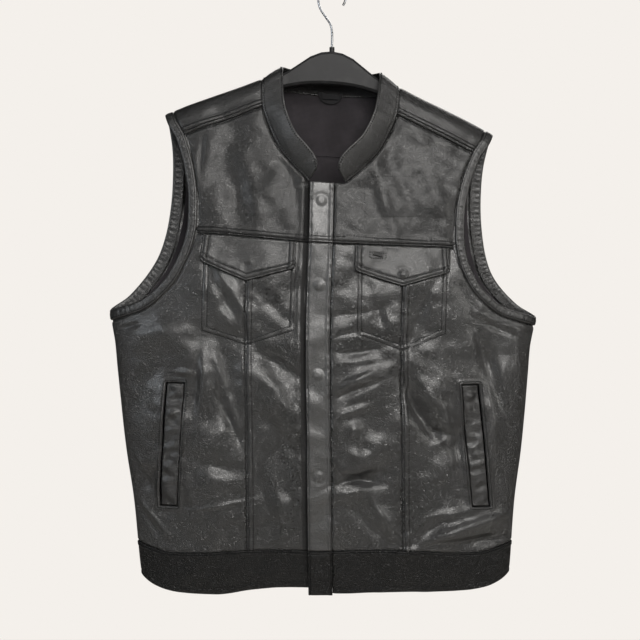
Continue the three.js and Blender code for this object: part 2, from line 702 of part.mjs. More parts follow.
// The folded strip of leather that covers the armhole's raw edge, all the way round
const BINDING_WIDTH = 12;
const BINDING_SECTION = [
  { across: 0.45, out: 0.9 },
  { across: 3, out: 1.5 },
  { across: 9.5, out: 1.2 },
  { across: BINDING_WIDTH, out: -0.3 },
  { across: BINDING_WIDTH, out: -1.9 },
  { across: 9.5, out: -3.3 },
  { across: 3, out: -3.4 },
  { across: 0.45, out: -2.9 },
];

function binding(side) {
  const places = [];
  for (let i = 0; i <= ARMHOLE_SPANS; i++) {
    places.push(aroundBody(armholeSeam(i / ARMHOLE_SPANS)));
  }
  for (const over of [...YOKE_STEPS].reverse().filter((_, i) => i % 2 === 1 && i < YOKE_STEPS.length - 1)) {
    places.push(overShoulder([yokeAt(over).arm, over]));
  }
  for (const place of places) place.u *= side.flip;
  const spots = places.map((place) => formPoint(place.u, place.z, place.side));
  const sections = spots.map(({ point, normal }, i) => {
    const before = spots[(i + spots.length - 1) % spots.length].point;
    const after = spots[(i + 1) % spots.length].point;
    const along = after.clone().sub(before).normalize();
    const across = along.clone().cross(normal).normalize().multiplyScalar(-side.flip);
    return BINDING_SECTION.map((corner) => {
      const at = point.clone().addScaledVector(across, corner.across).addScaledVector(normal, corner.out);
      return hung(at.x, at.y, at.z);
    });
  });
  return loft(sections, true);
}

function collar() {
  const half = COLLAR.map((row) => {
    const seam = formPoint(row.seamU, row.seamZ, row.side).point;
    return { seam, edge: new THREE.Vector3(row.edgeU, row.edgeY, row.edgeZ) };
  });
  const place = (point, flip) => {
    const rise = flip > 0 && point.y < 0 ? leftFrontRise(point.x) : 0;
    return hung(point.x * flip, point.y - rise, point.z);
  };
  const line3 = (column) => {
    const left = half.map((row) => place(row[column], 1));
    const right = half.slice(0, -1).map((row) => place(row[column], -1));
    return new THREE.CatmullRomCurve3([...left, ...right.reverse()], false, "centripetal");
  };
  const seamLine = line3("seam");
  const edgeLine = line3("edge");
  const spans = 40;
  const across = [0, 1 / 3, 2 / 3, 1];
  const middle = [];
  for (let i = 0; i <= spans; i++) {
    const [a, b] = [seamLine.getPoint(i / spans), edgeLine.getPoint(i / spans)];
    middle.push(across.map((t) => a.clone().lerp(b, t)));
  }
  const shifted = (offset) =>
    middle.map((row, i) =>
      row.map((point, j) => {
        const along = middle[Math.min(i + 1, spans)][j].clone().sub(middle[Math.max(i - 1, 0)][j]);
        const up = row[3].clone().sub(row[0]);
        return point.clone().addScaledVector(along.cross(up).normalize(), offset);
      }),
    );
  return wallBetween(shifted(COLLAR_THICKNESS / 2), shifted(-COLLAR_THICKNESS / 2));
}

// The pointed flap, lying on the panel and standing off it towards its free edge
const flapGap = (r) => SEAM_GAP + FLAP_RISE * r ** 2;

function flap(side) {
  const topZ = (u) => chestSeamZ(u) - FLAP.topDrop;
  const outerU = FLAP.outerU + FLAP.flareU;
  const innerCorner = [FLAP.innerU, CHEST_SEAM_Z - FLAP.sideDrop];
  const point = [FLAP.pointU, CHEST_SEAM_Z - FLAP.pointDrop];
  const outerCorner = [outerU, CHEST_SEAM_Z - FLAP.sideDrop + CHEST_SEAM_RISE];
  const foot = chain(
    { edge: line(innerCorner, point), share: 0.5 },
    { edge: line(point, outerCorner), share: 0.5 },
  );
  const placed = ([u, z]) => turnAt({ u, z });
  const head = (t) => {
    const u = FLAP.innerU + (FLAP.outerU - FLAP.innerU) * t;
    return [u, topZ(u)];
  };
  const edges = {
    top: (t) => placed(head(t)),
    bottom: (t) => placed(foot(t)),
    inner: (t) => placed(line(head(0), foot(0))(t)),
    outer: (t) => placed(line(head(1), foot(1))(t)),
  };
  const lift = (u, z, s, r) => side.rise(u) + flapGap(r) + FLAP_THICKNESS;
  return panel({ edges, rows: 4, columns: 10, flip: side.flip, lift, thickness: FLAP_THICKNESS });
}

// The slanting window of the hand pocket, or what fills it, made smaller all round by an inset
function weltShape(side, inset, lift, thickness) {
  const corner = (u, sign, z) => [u + sign * (WELT.width / 2 - inset), z];
  const topZ = WELT.topZ - inset;
  const bottomZ = WELT.bottomZ + inset;
  const corners = {
    topInner: corner(WELT.topU, -1, topZ),
    topOuter: corner(WELT.topU, 1, topZ),
    bottomInner: corner(WELT.bottomU, -1, bottomZ),
    bottomOuter: corner(WELT.bottomU, 1, bottomZ),
  };
  const placed = (a, b) => (t) => {
    const [u, z] = line(a, b)(t);
    return turnAt({ u, z });
  };
  const edges = {
    top: placed(corners.topInner, corners.topOuter),
    bottom: placed(corners.bottomInner, corners.bottomOuter),
    inner: placed(corners.topInner, corners.bottomInner),
    outer: placed(corners.topOuter, corners.bottomOuter),
  };
  return panel({ edges, rows: 10, columns: 2, flip: side.flip, lift: () => lift, thickness });
}

function sidePanelWithWindow(side) {
  const cutter = weltShape(side, 0, 3, 8);
  return geometryOf(solidOf(sidePanel(side)).subtract(solidOf(cutter)));
}

// A round snap between two layers, its axis along the form's normal
function snap(name, u, z, radius, foot, height) {
  const bevel = 0.3;
  const outline = [
    [0, 0],
    [radius - bevel, 0],
    [radius, bevel],
    [radius, height - bevel],
    [radius - bevel, height],
    [0, height],
  ].map(([x, y]) => new THREE.Vector2(x, y));
  const geometry = new THREE.LatheGeometry(outline, 14);
  const base = onForm({ u, z, side: FRONT }, foot);
  const axis = onForm({ u, z, side: FRONT }, foot + 1).sub(base);
  const mesh = add(name, geometry, "snap");
  mesh.position.copy(base);
  mesh.quaternion.setFromUnitVectors(new THREE.Vector3(0, 1, 0), axis.normalize());
  return mesh;
}

// A small flat piece on the inside of the back, such as a label: its face looks into the vest
function insidePatch({ fromU, toU, topZ, bottomZ }, over) {
  const edges = {
    top: acrossAt(() => topZ, fromU, toU, BACK),
    bottom: acrossAt(() => bottomZ, fromU, toU, BACK),
    inner: downAt(fromU, topZ, bottomZ, BACK),
    outer: downAt(toU, topZ, bottomZ, BACK),
  };
  const lift = (u, z) => liningLift(u, z) - LINING.thickness - SEAM_GAP - over;
  return panel({ edges, rows: 4, columns: 4, lift, thickness: PATCH_THICKNESS });
}

function hangingLoop() {
  const spans = 12;
  const sections = [];
  for (let i = 0; i <= spans; i++) {
    const turn = (Math.PI * i) / spans;
    const [across, down] = [-Math.cos(turn), -Math.sin(turn)];
    const middle = new THREE.Vector2(LOOP.halfSpan * across, LOOP.topZ + LOOP.sag * down);
    const out = new THREE.Vector2(across, down).multiplyScalar(LOOP.width / 2);
    const y = bodyAt(LOOP.topZ).back - LOOP.depth;
    const corners = [
      [1, 0],
      [1, -LOOP.thickness],
      [-1, -LOOP.thickness],
      [-1, 0],
    ];
    const placed = ([sign, dy]) => hung(middle.x + sign * out.x, y + dy, middle.y + sign * out.y);
    sections.push(corners.map(placed));
  }
  return loft(sections, false);
}

// The hanger's section at u: a web at the middle that widens under the shoulders to fit the yokes
const HANGER_TOP_STEPS = [-16, -8, 0, 8, 16];

function hangerSection(u) {
  const { top, bottom } = hangerAt(Math.abs(u));
  const shoulder = smooth(Math.abs(u), 58, 112);
  const web = HANGER_WEB_DEPTH;
  const webTop = [
    [web, top - 5],
    [web * 0.7, top - 1.2],
    [0, top],
    [-web * 0.7, top - 1.2],
    [-web, top - 5],
  ];
  const points = HANGER_TOP_STEPS.map((over, i) => {
    const place = overShoulder([u, over]);
    const { point, normal } = formPoint(place.u, place.z, place.side);
    point.addScaledVector(normal, -LEATHER - HANGER_SEAT_GAP);
    const [y, z] = webTop[i];
    return new THREE.Vector3(u, y, z).lerp(point, shoulder);
  });
  const footDepth = THREE.MathUtils.lerp(web, 13, shoulder);
  const foot = [
    [-footDepth, bottom + 3],
    [-footDepth + 2.5, bottom],
    [footDepth - 2.5, bottom],
    [footDepth, bottom + 3],
  ];
  points.push(...foot.map(([y, z]) => new THREE.Vector3(u, y, z)));
  return points.map((point) => hung(point.x, point.y, point.z));
}

function hangerBody() {
  const steps = Math.round(HANGER_TIP_U / HANGER_STEP_U);
  const sections = [];
  for (let i = -steps; i <= steps; i++) sections.push(hangerSection((i * HANGER_TIP_U) / steps));
  const upright = (radius, top, bottom) => {
    const height = top - bottom;
    return new THREE.CylinderGeometry(radius, radius, height, 20)
      .rotateX(Math.PI / 2)
      .translate(0, 0, (top + bottom) / 2);
  };
  const boss = solidOf(upright(NECK_BOSS.radius, NECK_BOSS.top, NECK_BOSS.bottom));
  const socket = solidOf(upright(WIRE_RADIUS + SEAM_GAP, NECK_BOSS.top + 1, SHANK_DEPTH_Z - SEAM_GAP));
  return geometryOf(solidOf(loft(sections, false)).add(boss).subtract(socket));
}

function hook() {
  const centreZ = WIRE_RADIUS - HOOK_RADIUS;
  const shank = [
    { x: 0, z: SHANK_DEPTH_Z },
    { x: 0, z: -80 },
    { x: 0, z: -62 },
    { x: -2, z: -52 },
    { x: -8.5, z: -42 },
    { x: -15, z: -32 },
    { x: -HOOK_RADIUS, z: -22 },
  ];
  const points = shank.map(({ x, z }) => new THREE.Vector3(x, 0, z));
  const arcSteps = 14;
  const arcTurn = THREE.MathUtils.degToRad(215);
  for (let i = 0; i <= arcSteps; i++) {
    const angle = Math.PI - (arcTurn * i) / arcSteps;
    points.push(
      new THREE.Vector3(HOOK_RADIUS * Math.cos(angle), 0, centreZ + HOOK_RADIUS * Math.sin(angle)),
    );
  }
  const section = new THREE.Shape();
  const sides = 8;
  for (let i = 0; i < sides; i++) {
    const angle = (2 * Math.PI * i) / sides;
    section[i ? "lineTo" : "moveTo"](WIRE_RADIUS * Math.cos(angle), WIRE_RADIUS * Math.sin(angle));
  }
  const extrudePath = new THREE.CatmullRomCurve3(points, false, "centripetal");
  return new THREE.ExtrudeGeometry(section, { steps: 40, bevelEnabled: false, extrudePath });
}

add("hanger_body", hangerBody(), "plastic");
add("hanger_hook", hook(), "steel");

for (const side of SIDES) {
  add(`yoke_${side.name}`, shoulderYoke(side), "leather");
  add(`chest_${side.name}`, chestPanel(side), "leather");
  add(`centre_${side.name}`, centrePanel(side), "leather");
  add(`side_${side.name}`, sidePanelWithWindow(side), "leather");
  add(`welt_${side.name}`, weltShape(side, 2 * SEAM_GAP, -0.6, LEATHER), "leather");
  add(`flap_${side.name}`, flap(side), "leather");
  add(`binding_${side.name}`, binding(side), "leather");
}

const chestGap = SEAM_GAP / 2;
add("placket_chest", placketStrip(NECK_FRONT_Z, CHEST_SEAM_Z + chestGap, 6), "leather");
add("placket_body", placketStrip(CHEST_SEAM_Z - chestGap, WAIST_SEAM_Z + chestGap, 24), "leather");
add("placket_band", placketStrip(WAIST_SEAM_Z - chestGap, -796, 4), "leather");

// The hem band of each front starts where that front's centre panel does
const bandTurn = (u) => turnAt({ u, z: WAIST_SEAM_Z })[0];
const frontEnd = SIDE_TURN - SIDE_GAP_TURN;
add(
  "band_left",
  hemStrip(bandTurn(PLACKET_SEAM_U + SEAM_GAP), frontEnd, 14, { lift: leftFrontRise }),
  "leather",
);
add("band_right", hemStrip(bandTurn(-UNDERLAP_U), frontEnd, 15, { flip: -1, drop: 6 }), "leather");
const backEnd = SIDE_TURN + SIDE_GAP_TURN;
add("band_back", hemStrip(backEnd, 2 * Math.PI - backEnd, BACK_COLUMNS), "leather");

const backGrid = { rows: BACK_ROWS, columns: BACK_COLUMNS };
add("back_panel", panel({ edges: backEdges(SEAM_GAP / 2), ...backGrid }), "leather");
const liningPanel = {
  edges: backEdges(LINING.inset, LINING.inset),
  ...LINING_GRID,
  lift: liningLift,
  thickness: LINING.thickness,
};
add("lining_back", panel(liningPanel), "lining");
add("neck_label", insidePatch(NECK_LABEL, 0), "label");
add("size_tab", insidePatch(SIZE_TAB, LOOP.thickness + 3 * SEAM_GAP), "label");
add("hanging_loop", hangingLoop(), "lining");
add("collar", collar(), "leather");

const snapGap = CLOSURE_RISE - PLACKET_THICKNESS;
SNAP.heights.forEach((z, i) => {
  snap(`snap_${i + 1}`, SNAP.u, z, SNAP.radius, SEAM_GAP, snapGap - 2 * SEAM_GAP);
});
for (const side of SIDES) {
  const r = (CHEST_SEAM_Z - FLAP_SNAP.z) / FLAP.pointDrop;
  const u = FLAP_SNAP.u * side.flip;
  const foot = side.rise(u) + SEAM_GAP;
  snap(`flap_snap_${side.name}`, u, FLAP_SNAP.z, FLAP_SNAP.radius, foot, flapGap(r) - 1);
}

export default vest;
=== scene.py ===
"""A black leather vest on its coat hanger, dressed in leather, thread, mesh lining, plastic and steel.

Every panel is cut on the same form as the solids: u is the distance from the centre front towards the
wearer's left, z is the height, and side says which face of the vest. Lengths in this file are in
millimetres until a mesh is made, and meshes are in metres.
"""

import json
import logging
import math
from dataclasses import dataclass, field
from enum import Enum
from typing import Callable, Sequence

import bpy
import numpy as np
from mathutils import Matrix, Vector
from mathutils.bvhtree import BVHTree

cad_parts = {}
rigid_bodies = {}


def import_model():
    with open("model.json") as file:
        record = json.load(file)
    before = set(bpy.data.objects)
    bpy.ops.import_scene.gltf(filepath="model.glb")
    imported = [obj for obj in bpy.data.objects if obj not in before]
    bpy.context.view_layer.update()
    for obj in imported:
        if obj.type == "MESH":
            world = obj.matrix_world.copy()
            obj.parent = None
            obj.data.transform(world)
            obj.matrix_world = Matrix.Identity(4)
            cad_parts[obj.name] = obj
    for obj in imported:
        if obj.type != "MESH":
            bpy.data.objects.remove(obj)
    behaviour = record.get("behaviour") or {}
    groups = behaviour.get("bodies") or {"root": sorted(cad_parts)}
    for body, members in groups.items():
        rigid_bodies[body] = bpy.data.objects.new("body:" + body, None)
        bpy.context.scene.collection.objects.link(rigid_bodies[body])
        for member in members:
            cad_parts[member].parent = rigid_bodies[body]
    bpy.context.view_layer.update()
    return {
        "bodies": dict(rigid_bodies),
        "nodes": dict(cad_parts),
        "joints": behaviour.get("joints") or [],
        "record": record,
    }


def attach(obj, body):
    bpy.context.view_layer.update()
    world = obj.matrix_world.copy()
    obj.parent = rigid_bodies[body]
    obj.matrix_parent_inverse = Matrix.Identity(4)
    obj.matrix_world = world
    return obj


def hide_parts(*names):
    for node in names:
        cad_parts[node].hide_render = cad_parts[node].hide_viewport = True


MM = 0.001
BODY = "root"
LOG = logging.getLogger("vest")
FAR = 30.0
ONE_ROW = (2.5,)
TWO_ROWS = (2.5, 8.4)

LEATHER = 1.6
SEAM_GAP = 0.3
PLACKET_THICKNESS = 2.6
CLOSURE_RISE = 5.4
CLOSURE_FADE = 80.0
FLAP_THICKNESS = 2.2
FLAP_RISE = 3.0
CREASE_RELIEF = 1.35
HEM_LEAN = 6.0

CHEST_SEAM_Z = -344.0
CHEST_SEAM_RISE = 4.0
CHEST_END_U = 167.5
NECK_FRONT_Z = -266.0
WAIST_SEAM_Z = -738.0
PRINCESS_U = 100.0
PLACKET_EDGE_U = -22.0
PLACKET_SEAM_U = 9.0
PLACKET_FOOT_Z = -796.0
UNDERLAP_U = 12.0
YOKE_FRONT_DROP = 39.3
YOKE_BACK_DROP = 12.1
YOKE_FRONT_OVER = 51.6
YOKE_BACK_OVER = -24.0
SQUARENESS = 3.5
RIDGE_ROUND = 22.0
ARMPIT_Z = -446.0
SIDE_TURN = math.pi / 2
SIDE_GAP_TURN = 0.0006

Array = np.ndarray
Piece = bpy.types.Object
Material = bpy.types.Material
Socket = bpy.types.NodeSocket
Edge = Callable[[Array], Array]


class Face(Enum):
    """The two faces of the flattened vest."""

    FRONT = -1.0
    BACK = 1.0


class Rim(Enum):
    """The four edges of a panel, named as they lie on it."""

    TOP = "top"
    BOTTOM = "bottom"
    INNER = "inner"
    OUTER = "outer"


class SeamKind(Enum):
    """How a panel's edge is sewn."""

    OVER = "lapped over its neighbour, with its allowance under it"
    UNDER = "lapped under its neighbour"
    FREE = "folded and left free"
    BUTT = "meets a binding or the collar"


F, B = Face
TOP, BOTTOM, INNER, OUTER = Rim
OVER, UNDER, FREE, BUTT = SeamKind


def smoothstep(value: Array, low: float, high: float) -> Array:
    """A smooth step from 0 at low to 1 at high."""
    t = np.clip((value - low) / (high - low), 0, 1)
    return t * t * (3 - 2 * t)


def bell(value: Array, width: float) -> Array:
    """A bell curve, 1 at zero."""
    return np.exp(-((value / width) ** 2))


def unit(vectors: Array) -> Array:
    """Vectors with a length of 1."""
    return vectors / (np.linalg.norm(vectors, axis=-1, keepdims=True) + 1e-12)


class Curve:
    """A smooth curve through a table whose first column is the key, as the solids are drawn."""

    def __init__(self, rows: Sequence[Sequence[float]]) -> None:
        """Keeps the table sorted by its first column."""
        table = np.array(sorted(rows), float)
        self.keys = table[:, 0]
        self.values = table[:, 1:]

    def __call__(self, at: Array) -> Array:
        """The table's columns at some keys, along one more axis.

        Args:
            at: the keys.

        Returns:
            The columns at them.
        """
        keys, values = self.keys, self.values
        last = len(keys) - 1
        at = np.clip(np.asarray(at, float), keys[0], keys[-1])
        i0 = np.clip(np.searchsorted(keys, at, side="right") - 1, 0, last - 1)
        i1 = i0 + 1
        before = np.where(i0 == 0, i1, i0 - 1)
        after = np.where(i1 == last, i0, np.minimum(i1 + 1, last))
        half = (keys[i1] - keys[i0]) / 2
        weight_before = half / (keys[i0] - keys[before])
        weight_after = half / (keys[after] - keys[i1])
        p = (at - keys[i0]) / (keys[i1] - keys[i0])
        pp, ppp = p**2, p**3
        s_before = -weight_before * ppp + 2 * weight_before * pp - weight_before * p
        s0 = (1 + weight_before) * ppp + (-1.5 - 2 * weight_before) * pp + (-0.5 + weight_before) * p + 1
        s1 = (-1 - weight_after) * ppp + (1.5 + weight_after) * pp + 0.5 * p
        s_after = weight_after * ppp - weight_after * pp
        parts = ((s_before, before), (s0, i0), (s1, i1), (s_after, after))
        return sum(s[..., None] * values[i] for s, i in parts)


def through(points: Sequence[Sequence[float]]) -> Edge:
    """A smooth line through points, run from 0 to 1.

    Args:
        points: the points, one a row.

    Returns:
        The line.
    """
    table = np.array(points, float)
    last = len(table) - 1

    def line(t: Array) -> Array:
        """The point at each share of the line."""
        at = np.clip(t, 0, 1) * last
        i1 = np.minimum(at.astype(int), last - 1)
        w = (at - i1)[..., None]
        p0, p1 = table[np.maximum(i1 - 1, 0)], table[i1]
        p2, p3 = table[i1 + 1], table[np.minimum(i1 + 2, last)]
        v0, v1 = (p2 - p0) / 2, (p3 - p1) / 2
        cubic = (2 * p1 - 2 * p2 + v0 + v1) * w**3
        return cubic + (3 * p2 - 3 * p1 - 2 * v0 - v1) * w**2 + v0 * w + p1

    return line


def height_at(edge: Edge, end: float) -> float:
    """The height of a line at 0, its start, or 1, its end."""
    return float(edge(np.array(end))[1])


def straight(a: Sequence[float], b: Sequence[float]) -> Edge:
    """A straight line between two points, run from 0 to 1."""
    start, end = np.array(a, float), np.array(b, float)
    return lambda t: start + (end - start) * t[..., None]


def part_of(edge: Edge, start: float, end: float) -> Edge:
    """A stretch of a line, run from 0 to 1."""
    return lambda t: edge(start + (end - start) * t)


def chain(*links: tuple[Edge, float]) -> Edge:
    """Several lines end to end, each with its share of the whole, as one line run from 0 to 1.

    Args:
        links: each line, with its share of the whole.

    Returns:
        The line.
    """

    def line(t: Array) -> Array:
        """The point at each share of the whole."""
        made = links[-1][0](np.ones_like(t))
        start = 0.0
        for i, (edge, share) in enumerate(links):
            ends = start + share
            inside = (t >= start - 1e-9 if i == 0 else t > start + 1e-9) & (t <= ends + 1e-9)
            local = edge(np.clip((t - start) / share, 0, 1))
            made = np.where(inside[..., None], local, made)
            start = ends
        return made

    return line


def ruler(length: float, pitch: float, marks: Sequence[float] = ()) -> Array:
    """Positions across a panel, close together at its two edges and at marks, and even between them.

    Args:
        length: the panel's size in this direction.
        pitch: the even distance between positions.
        marks: fractions of the length that also get close positions.

    Returns:
        Positions from 0 to 1.
    """
    steps = [0.0, 0.5, 1.1, 1.8, 2.5, 3.2, 4.4, 6.0, 7.6, 8.4, 9.2, 10.6]
    usable = 0.36 * length / (len(marks) + 1)
    near = np.array([step for step in steps if step < usable]) / length
    stops = [0.0, *sorted(marks), 1.0]
    made: list[Array] = []
    for a, b in zip(stops, stops[1:]):
        count = max(int((b - a - 2 * near[-1]) * length / pitch), 1)
        made.append(a + near)
        made.append(np.linspace(a + near[-1], b - near[-1], count + 1))
        made.append(b - near)
    return np.unique(np.round(np.concatenate(made), 7))


@dataclass(frozen=True)
class Places:
    """Points of the form, by their distance from the centre front, height and face."""

    u: Array
    z: Array
    side: Array


Relief = Callable[[Places], Array]


def front_places(line: Array) -> Places:
    """The places of a line drawn on the front."""
    return Places(line[:, 0], line[:, 1], np.full(len(line), F.value))


@dataclass(frozen=True)
class Fold:
    """One fold or crease of the hanging leather; above zero it stands out, below zero it is a trough.

    The slant is the angle of its length with the level, and a bend curves it.
    """

    face: Face
    u: float
    z: float
    length: float
    width: float
    slant: float
    depth: float
    bend: float = 0.0
    crisp: bool = False

    def height(self, places: Places) -> Array:
        """How far the fold lifts some places off the form.

        Args:
            places: the places.

        Returns:
            The height of each.
        """
        slant = math.radians(self.slant)
        du, dz = places.u - self.u, places.z - self.z
        along = (du * math.cos(slant) + dz * math.sin(slant)) / self.length
        athwart = (dz * math.cos(slant) - du * math.sin(slant) - self.bend * along**2) / self.width
        shape = 1 / np.cosh(1.7 * athwart) if self.crisp else np.exp(-(athwart**2))
        return np.where(places.side == self.face.value, self.depth * np.exp(-(along**2)) * shape, 0.0)


def folds_on(face: Face, *rows: tuple[float, ...]) -> tuple[Fold, ...]:
    """Folds on one face: distance, height, length, width, slant, depth, bend and whether it is crisp."""
    return tuple(Fold(face, *row) for row in rows)


class Ripple:
    """Gentle unevenness of worn leather, the same on every run."""

    def __init__(self, wavelength: float, depth: float, seed: int, waves: int = 16) -> None:
        """Draws waves about so long and so high, laid over each other in the seed's pattern.

        Args:
            wavelength: how long the waves are, in millimetres.
            depth: how high they are.
            seed: picks their pattern.
            waves: how many are laid over each other.
        """
        random = np.random.default_rng(seed)
        turn = random.uniform(0, 2 * math.pi, waves)
        size = wavelength * random.uniform(0.65, 1.7, waves)
        self.across = 2 * math.pi * np.cos(turn) / size
        self.up = 2 * math.pi * np.sin(turn) / size
        self.phase = random.uniform(0, 2 * math.pi, waves)
        self.depth = depth * math.sqrt(2 / waves)

    def height(self, u: Array, z: Array) -> Array:
        """The ripple's height at some places."""
        total = np.zeros(np.broadcast(u, z).shape)
        for across, up, phase in zip(self.across, self.up, self.phase):
            total += np.sin(across * u + up * z + phase)
        return self.depth * total


MAIN_FOLDS = folds_on(
    F,
    (-128, -520, 62, 17, -72, -7),
    (-152, -505, 55, 20, -80, 5),
    (-66, -500, 46, 15, -35, -6),
    (-62, -552, 55, 18, -62, 6),
    (-80, -650, 70, 26, -80, -4),
    (-150, -640, 60, 30, -70, 5),
    (-235, -470, 60, 16, 25, 4),
    (-228, -660, 55, 14, -55, -5),
    (57, -520, 34, 14, 15, 5),
    (55, -642, 30, 13, 4, -7),
    (60, -610, 34, 18, 20, 5),
    (128, -566, 40, 13, -58, -7),
    (150, -600, 36, 15, -5, -4),
    (215, -500, 80, 17, 78, -7),
    (176, -716, 70, 15, 20, 7),
    (205, -728, 60, 11, 14, -5),
    (78, -290, 70, 24, 72, 3),
    (-120, -262, 60, 26, -75, -3),
) + folds_on(
    B,
    (-120, -470, 120, 34, -78, -6),
    (118, -430, 110, 30, 80, -6),
    (10, -560, 150, 40, 86, 4),
    (-60, -640, 80, 26, -70, 5),
    (190, -560, 90, 26, 68, 5),
    (-195, -600, 80, 24, -66, -5),
)

CREASES = folds_on(
    F,
    (-53, -500, 42, 8, -35, -2.5),
    (-52, -546, 49, 9, -54, 2),
    (-61, -585, 37, 11, -51, -3),
    (-54, -682, 37, 10, -73, 3),
    (-75, -673, 32, 8, -79, -2.5),
    (-163, -518, 41, 6, 85, -3.8),
    (-134, -504, 33, 7, -75, 3),
    (-119, -554, 32, 6, -72, 2.5),
    (-122, -566, 36, 6, -68, -3.8, 0, True),
    (-144, -588, 27, 12, 12, 2.8),
    (-141, -628, 36, 10, -18, -3.6),
    (-175, -654, 28, 7, -76, 2.5),
    (-139, -681, 40, 3, 10, 1.2, 0, True),
    (-240, -624, 22, 3, -57, 1.6, 0, True),
    (-244, -631, 22, 4, -57, -1.6),
    (-227, -692, 27, 3, -50, 1.8, 0, True),
    (-232, -699, 27, 4.5, -51, -2.2),
    (-176, -511, 13, 4, -3, 1.9),
    (-193, -466, 32, 14, -46, 3),
    (-228, -553, 40, 14, -79, -2),
    (-122, -425, 37, 7, -58, -2.6),
    (-115, -412, 33, 6, -53, 1.5),
    (-61, -429, 30, 8, -41, -1.4),
    (-253, -454, 14, 3, 14, -2.5, 0, True),
    (171, -589, 96, 9, -85, -3.8),
    (215, -499, 80, 9, -72, -4),
    (216, -570, 55, 8, -86, 2.8),
    (185, -707, 62, 6, 17, 3.6, -4),
    (176, -728, 55, 5.5, 3, -3.2),
    (126, -706, 24, 7, 37, 2.6),
    (165, -691, 30, 6, 8, 2.2),
    (121, -559, 38, 6, -60, -4.6, 3, True),
    (139, -545, 40, 10, -57, 3),
    (149, -587, 16, 5, -8, -2.6),
    (149, -600, 13, 8, 4, 2.4),
    (44, -519, 27, 5, 26, 3),
    (48, -529, 29, 5, 20, -3.6, 0, True),
    (41, -557, 25, 5, 19, 2),
    (40, -583, 10, 9, 0, 3.4),
    (53, -606, 11, 8, 0, -2.6),
    (42, -648, 30, 4.5, 2, -4.2, -4, True),
    (41, -632, 25, 7, 2, 3.2),
    (52, -700, 34, 8, -44, -3.2),
    (73, -692, 28, 7, -58, 2.6),
    (39, -662, 22, 6, 11, 2),
    (45, -433, 29, 4, 9, -1.8, 2, True),
    (38, -458, 21, 4, 7, -1.7, -2, True),
    (48, -483, 31, 4.5, 7, -2, 3, True),
    (43, -494, 24, 5, 6, 1.6),
    (71, -434, 26, 7, -67, -2.4),
    (123, -436, 48, 7, 72, -2.4),
    (255, -500, 45, 9, -79, 2.4),
    (237, -444, 38, 3.5, -21, 1.8, 0, True),
    (233, -453, 36, 4, -24, -2, 0, True),
    (239, -742, 18, 3, -31, -1.5, 0, True),
    (74, -284, 57, 9, -72, 2.2),
    (100, -271, 53, 10, -65, -2),
    (142, -276, 44, 12, -72, 2.2),
    (-164, -240, 24, 3.5, 86, -2, 0, True),
    (-126, -273, 51, 14, -76, -2),
    (-93, -289, 49, 11, -73, 1.8),
    (-47, -249, 75, 9, -79, -2),
) + folds_on(
    B,
    (-160, -380, 60, 9, -64, -2.4, 7, True),
    (150, -360, 52, 8, 70, -2.2, -6, True),
    (60, -500, 66, 10, 84, 2.4, 8),
    (-30, -600, 58, 9, -80, -2.2, 6),
    (215, -470, 44, 7, 48, -2, 5, True),
    (-222, -500, 46, 8, -50, -2.4, -6, True),
    (-90, -700, 52, 8, 12, 2.2, 4),
    (120, -690, 48, 7, -14, -2, 4, True),
    (20, -250, 70, 12, 3, -1.8, 9),
)


# Height, half the width, and the depths in front and behind; the shoulder line; shift and tilt.
BODY_SHAPE = Curve(
    (
        (-90, 262, 20, 20),
        (-140, 262, 24, 24),
        (-185, 262, 28, 27),
        (-260, 266, 36, 31),
        (-345, 272, 43, 34),
        (-440, 279, 46, 36),
        (-475, 273.5, 46, 36),
        (-510, 270.5, 46, 36),
        (-610, 260.5, 45, 35),
        (-677, 251, 43, 34),
        (-763, 243.6, 40, 33),
        (-800, 239, 38, 32),
    )
)
RIDGE_LINE = Curve(
    ((0, -95), (89.5, -131.5), (121, -145.5), (150, -157.5), (184, -172), (206, -182), (262, -202))
)
HANG = Curve(
    (
        (-90, 0, 0.061),
        (-260, -6.5, 0.061),
        (-345, -8.5, 0.058),
        (-440, -12, 0.014),
        (-560, -11.5, 0.006),
        (-700, -10, 0),
        (-810, -8.5, 0),
    )
)


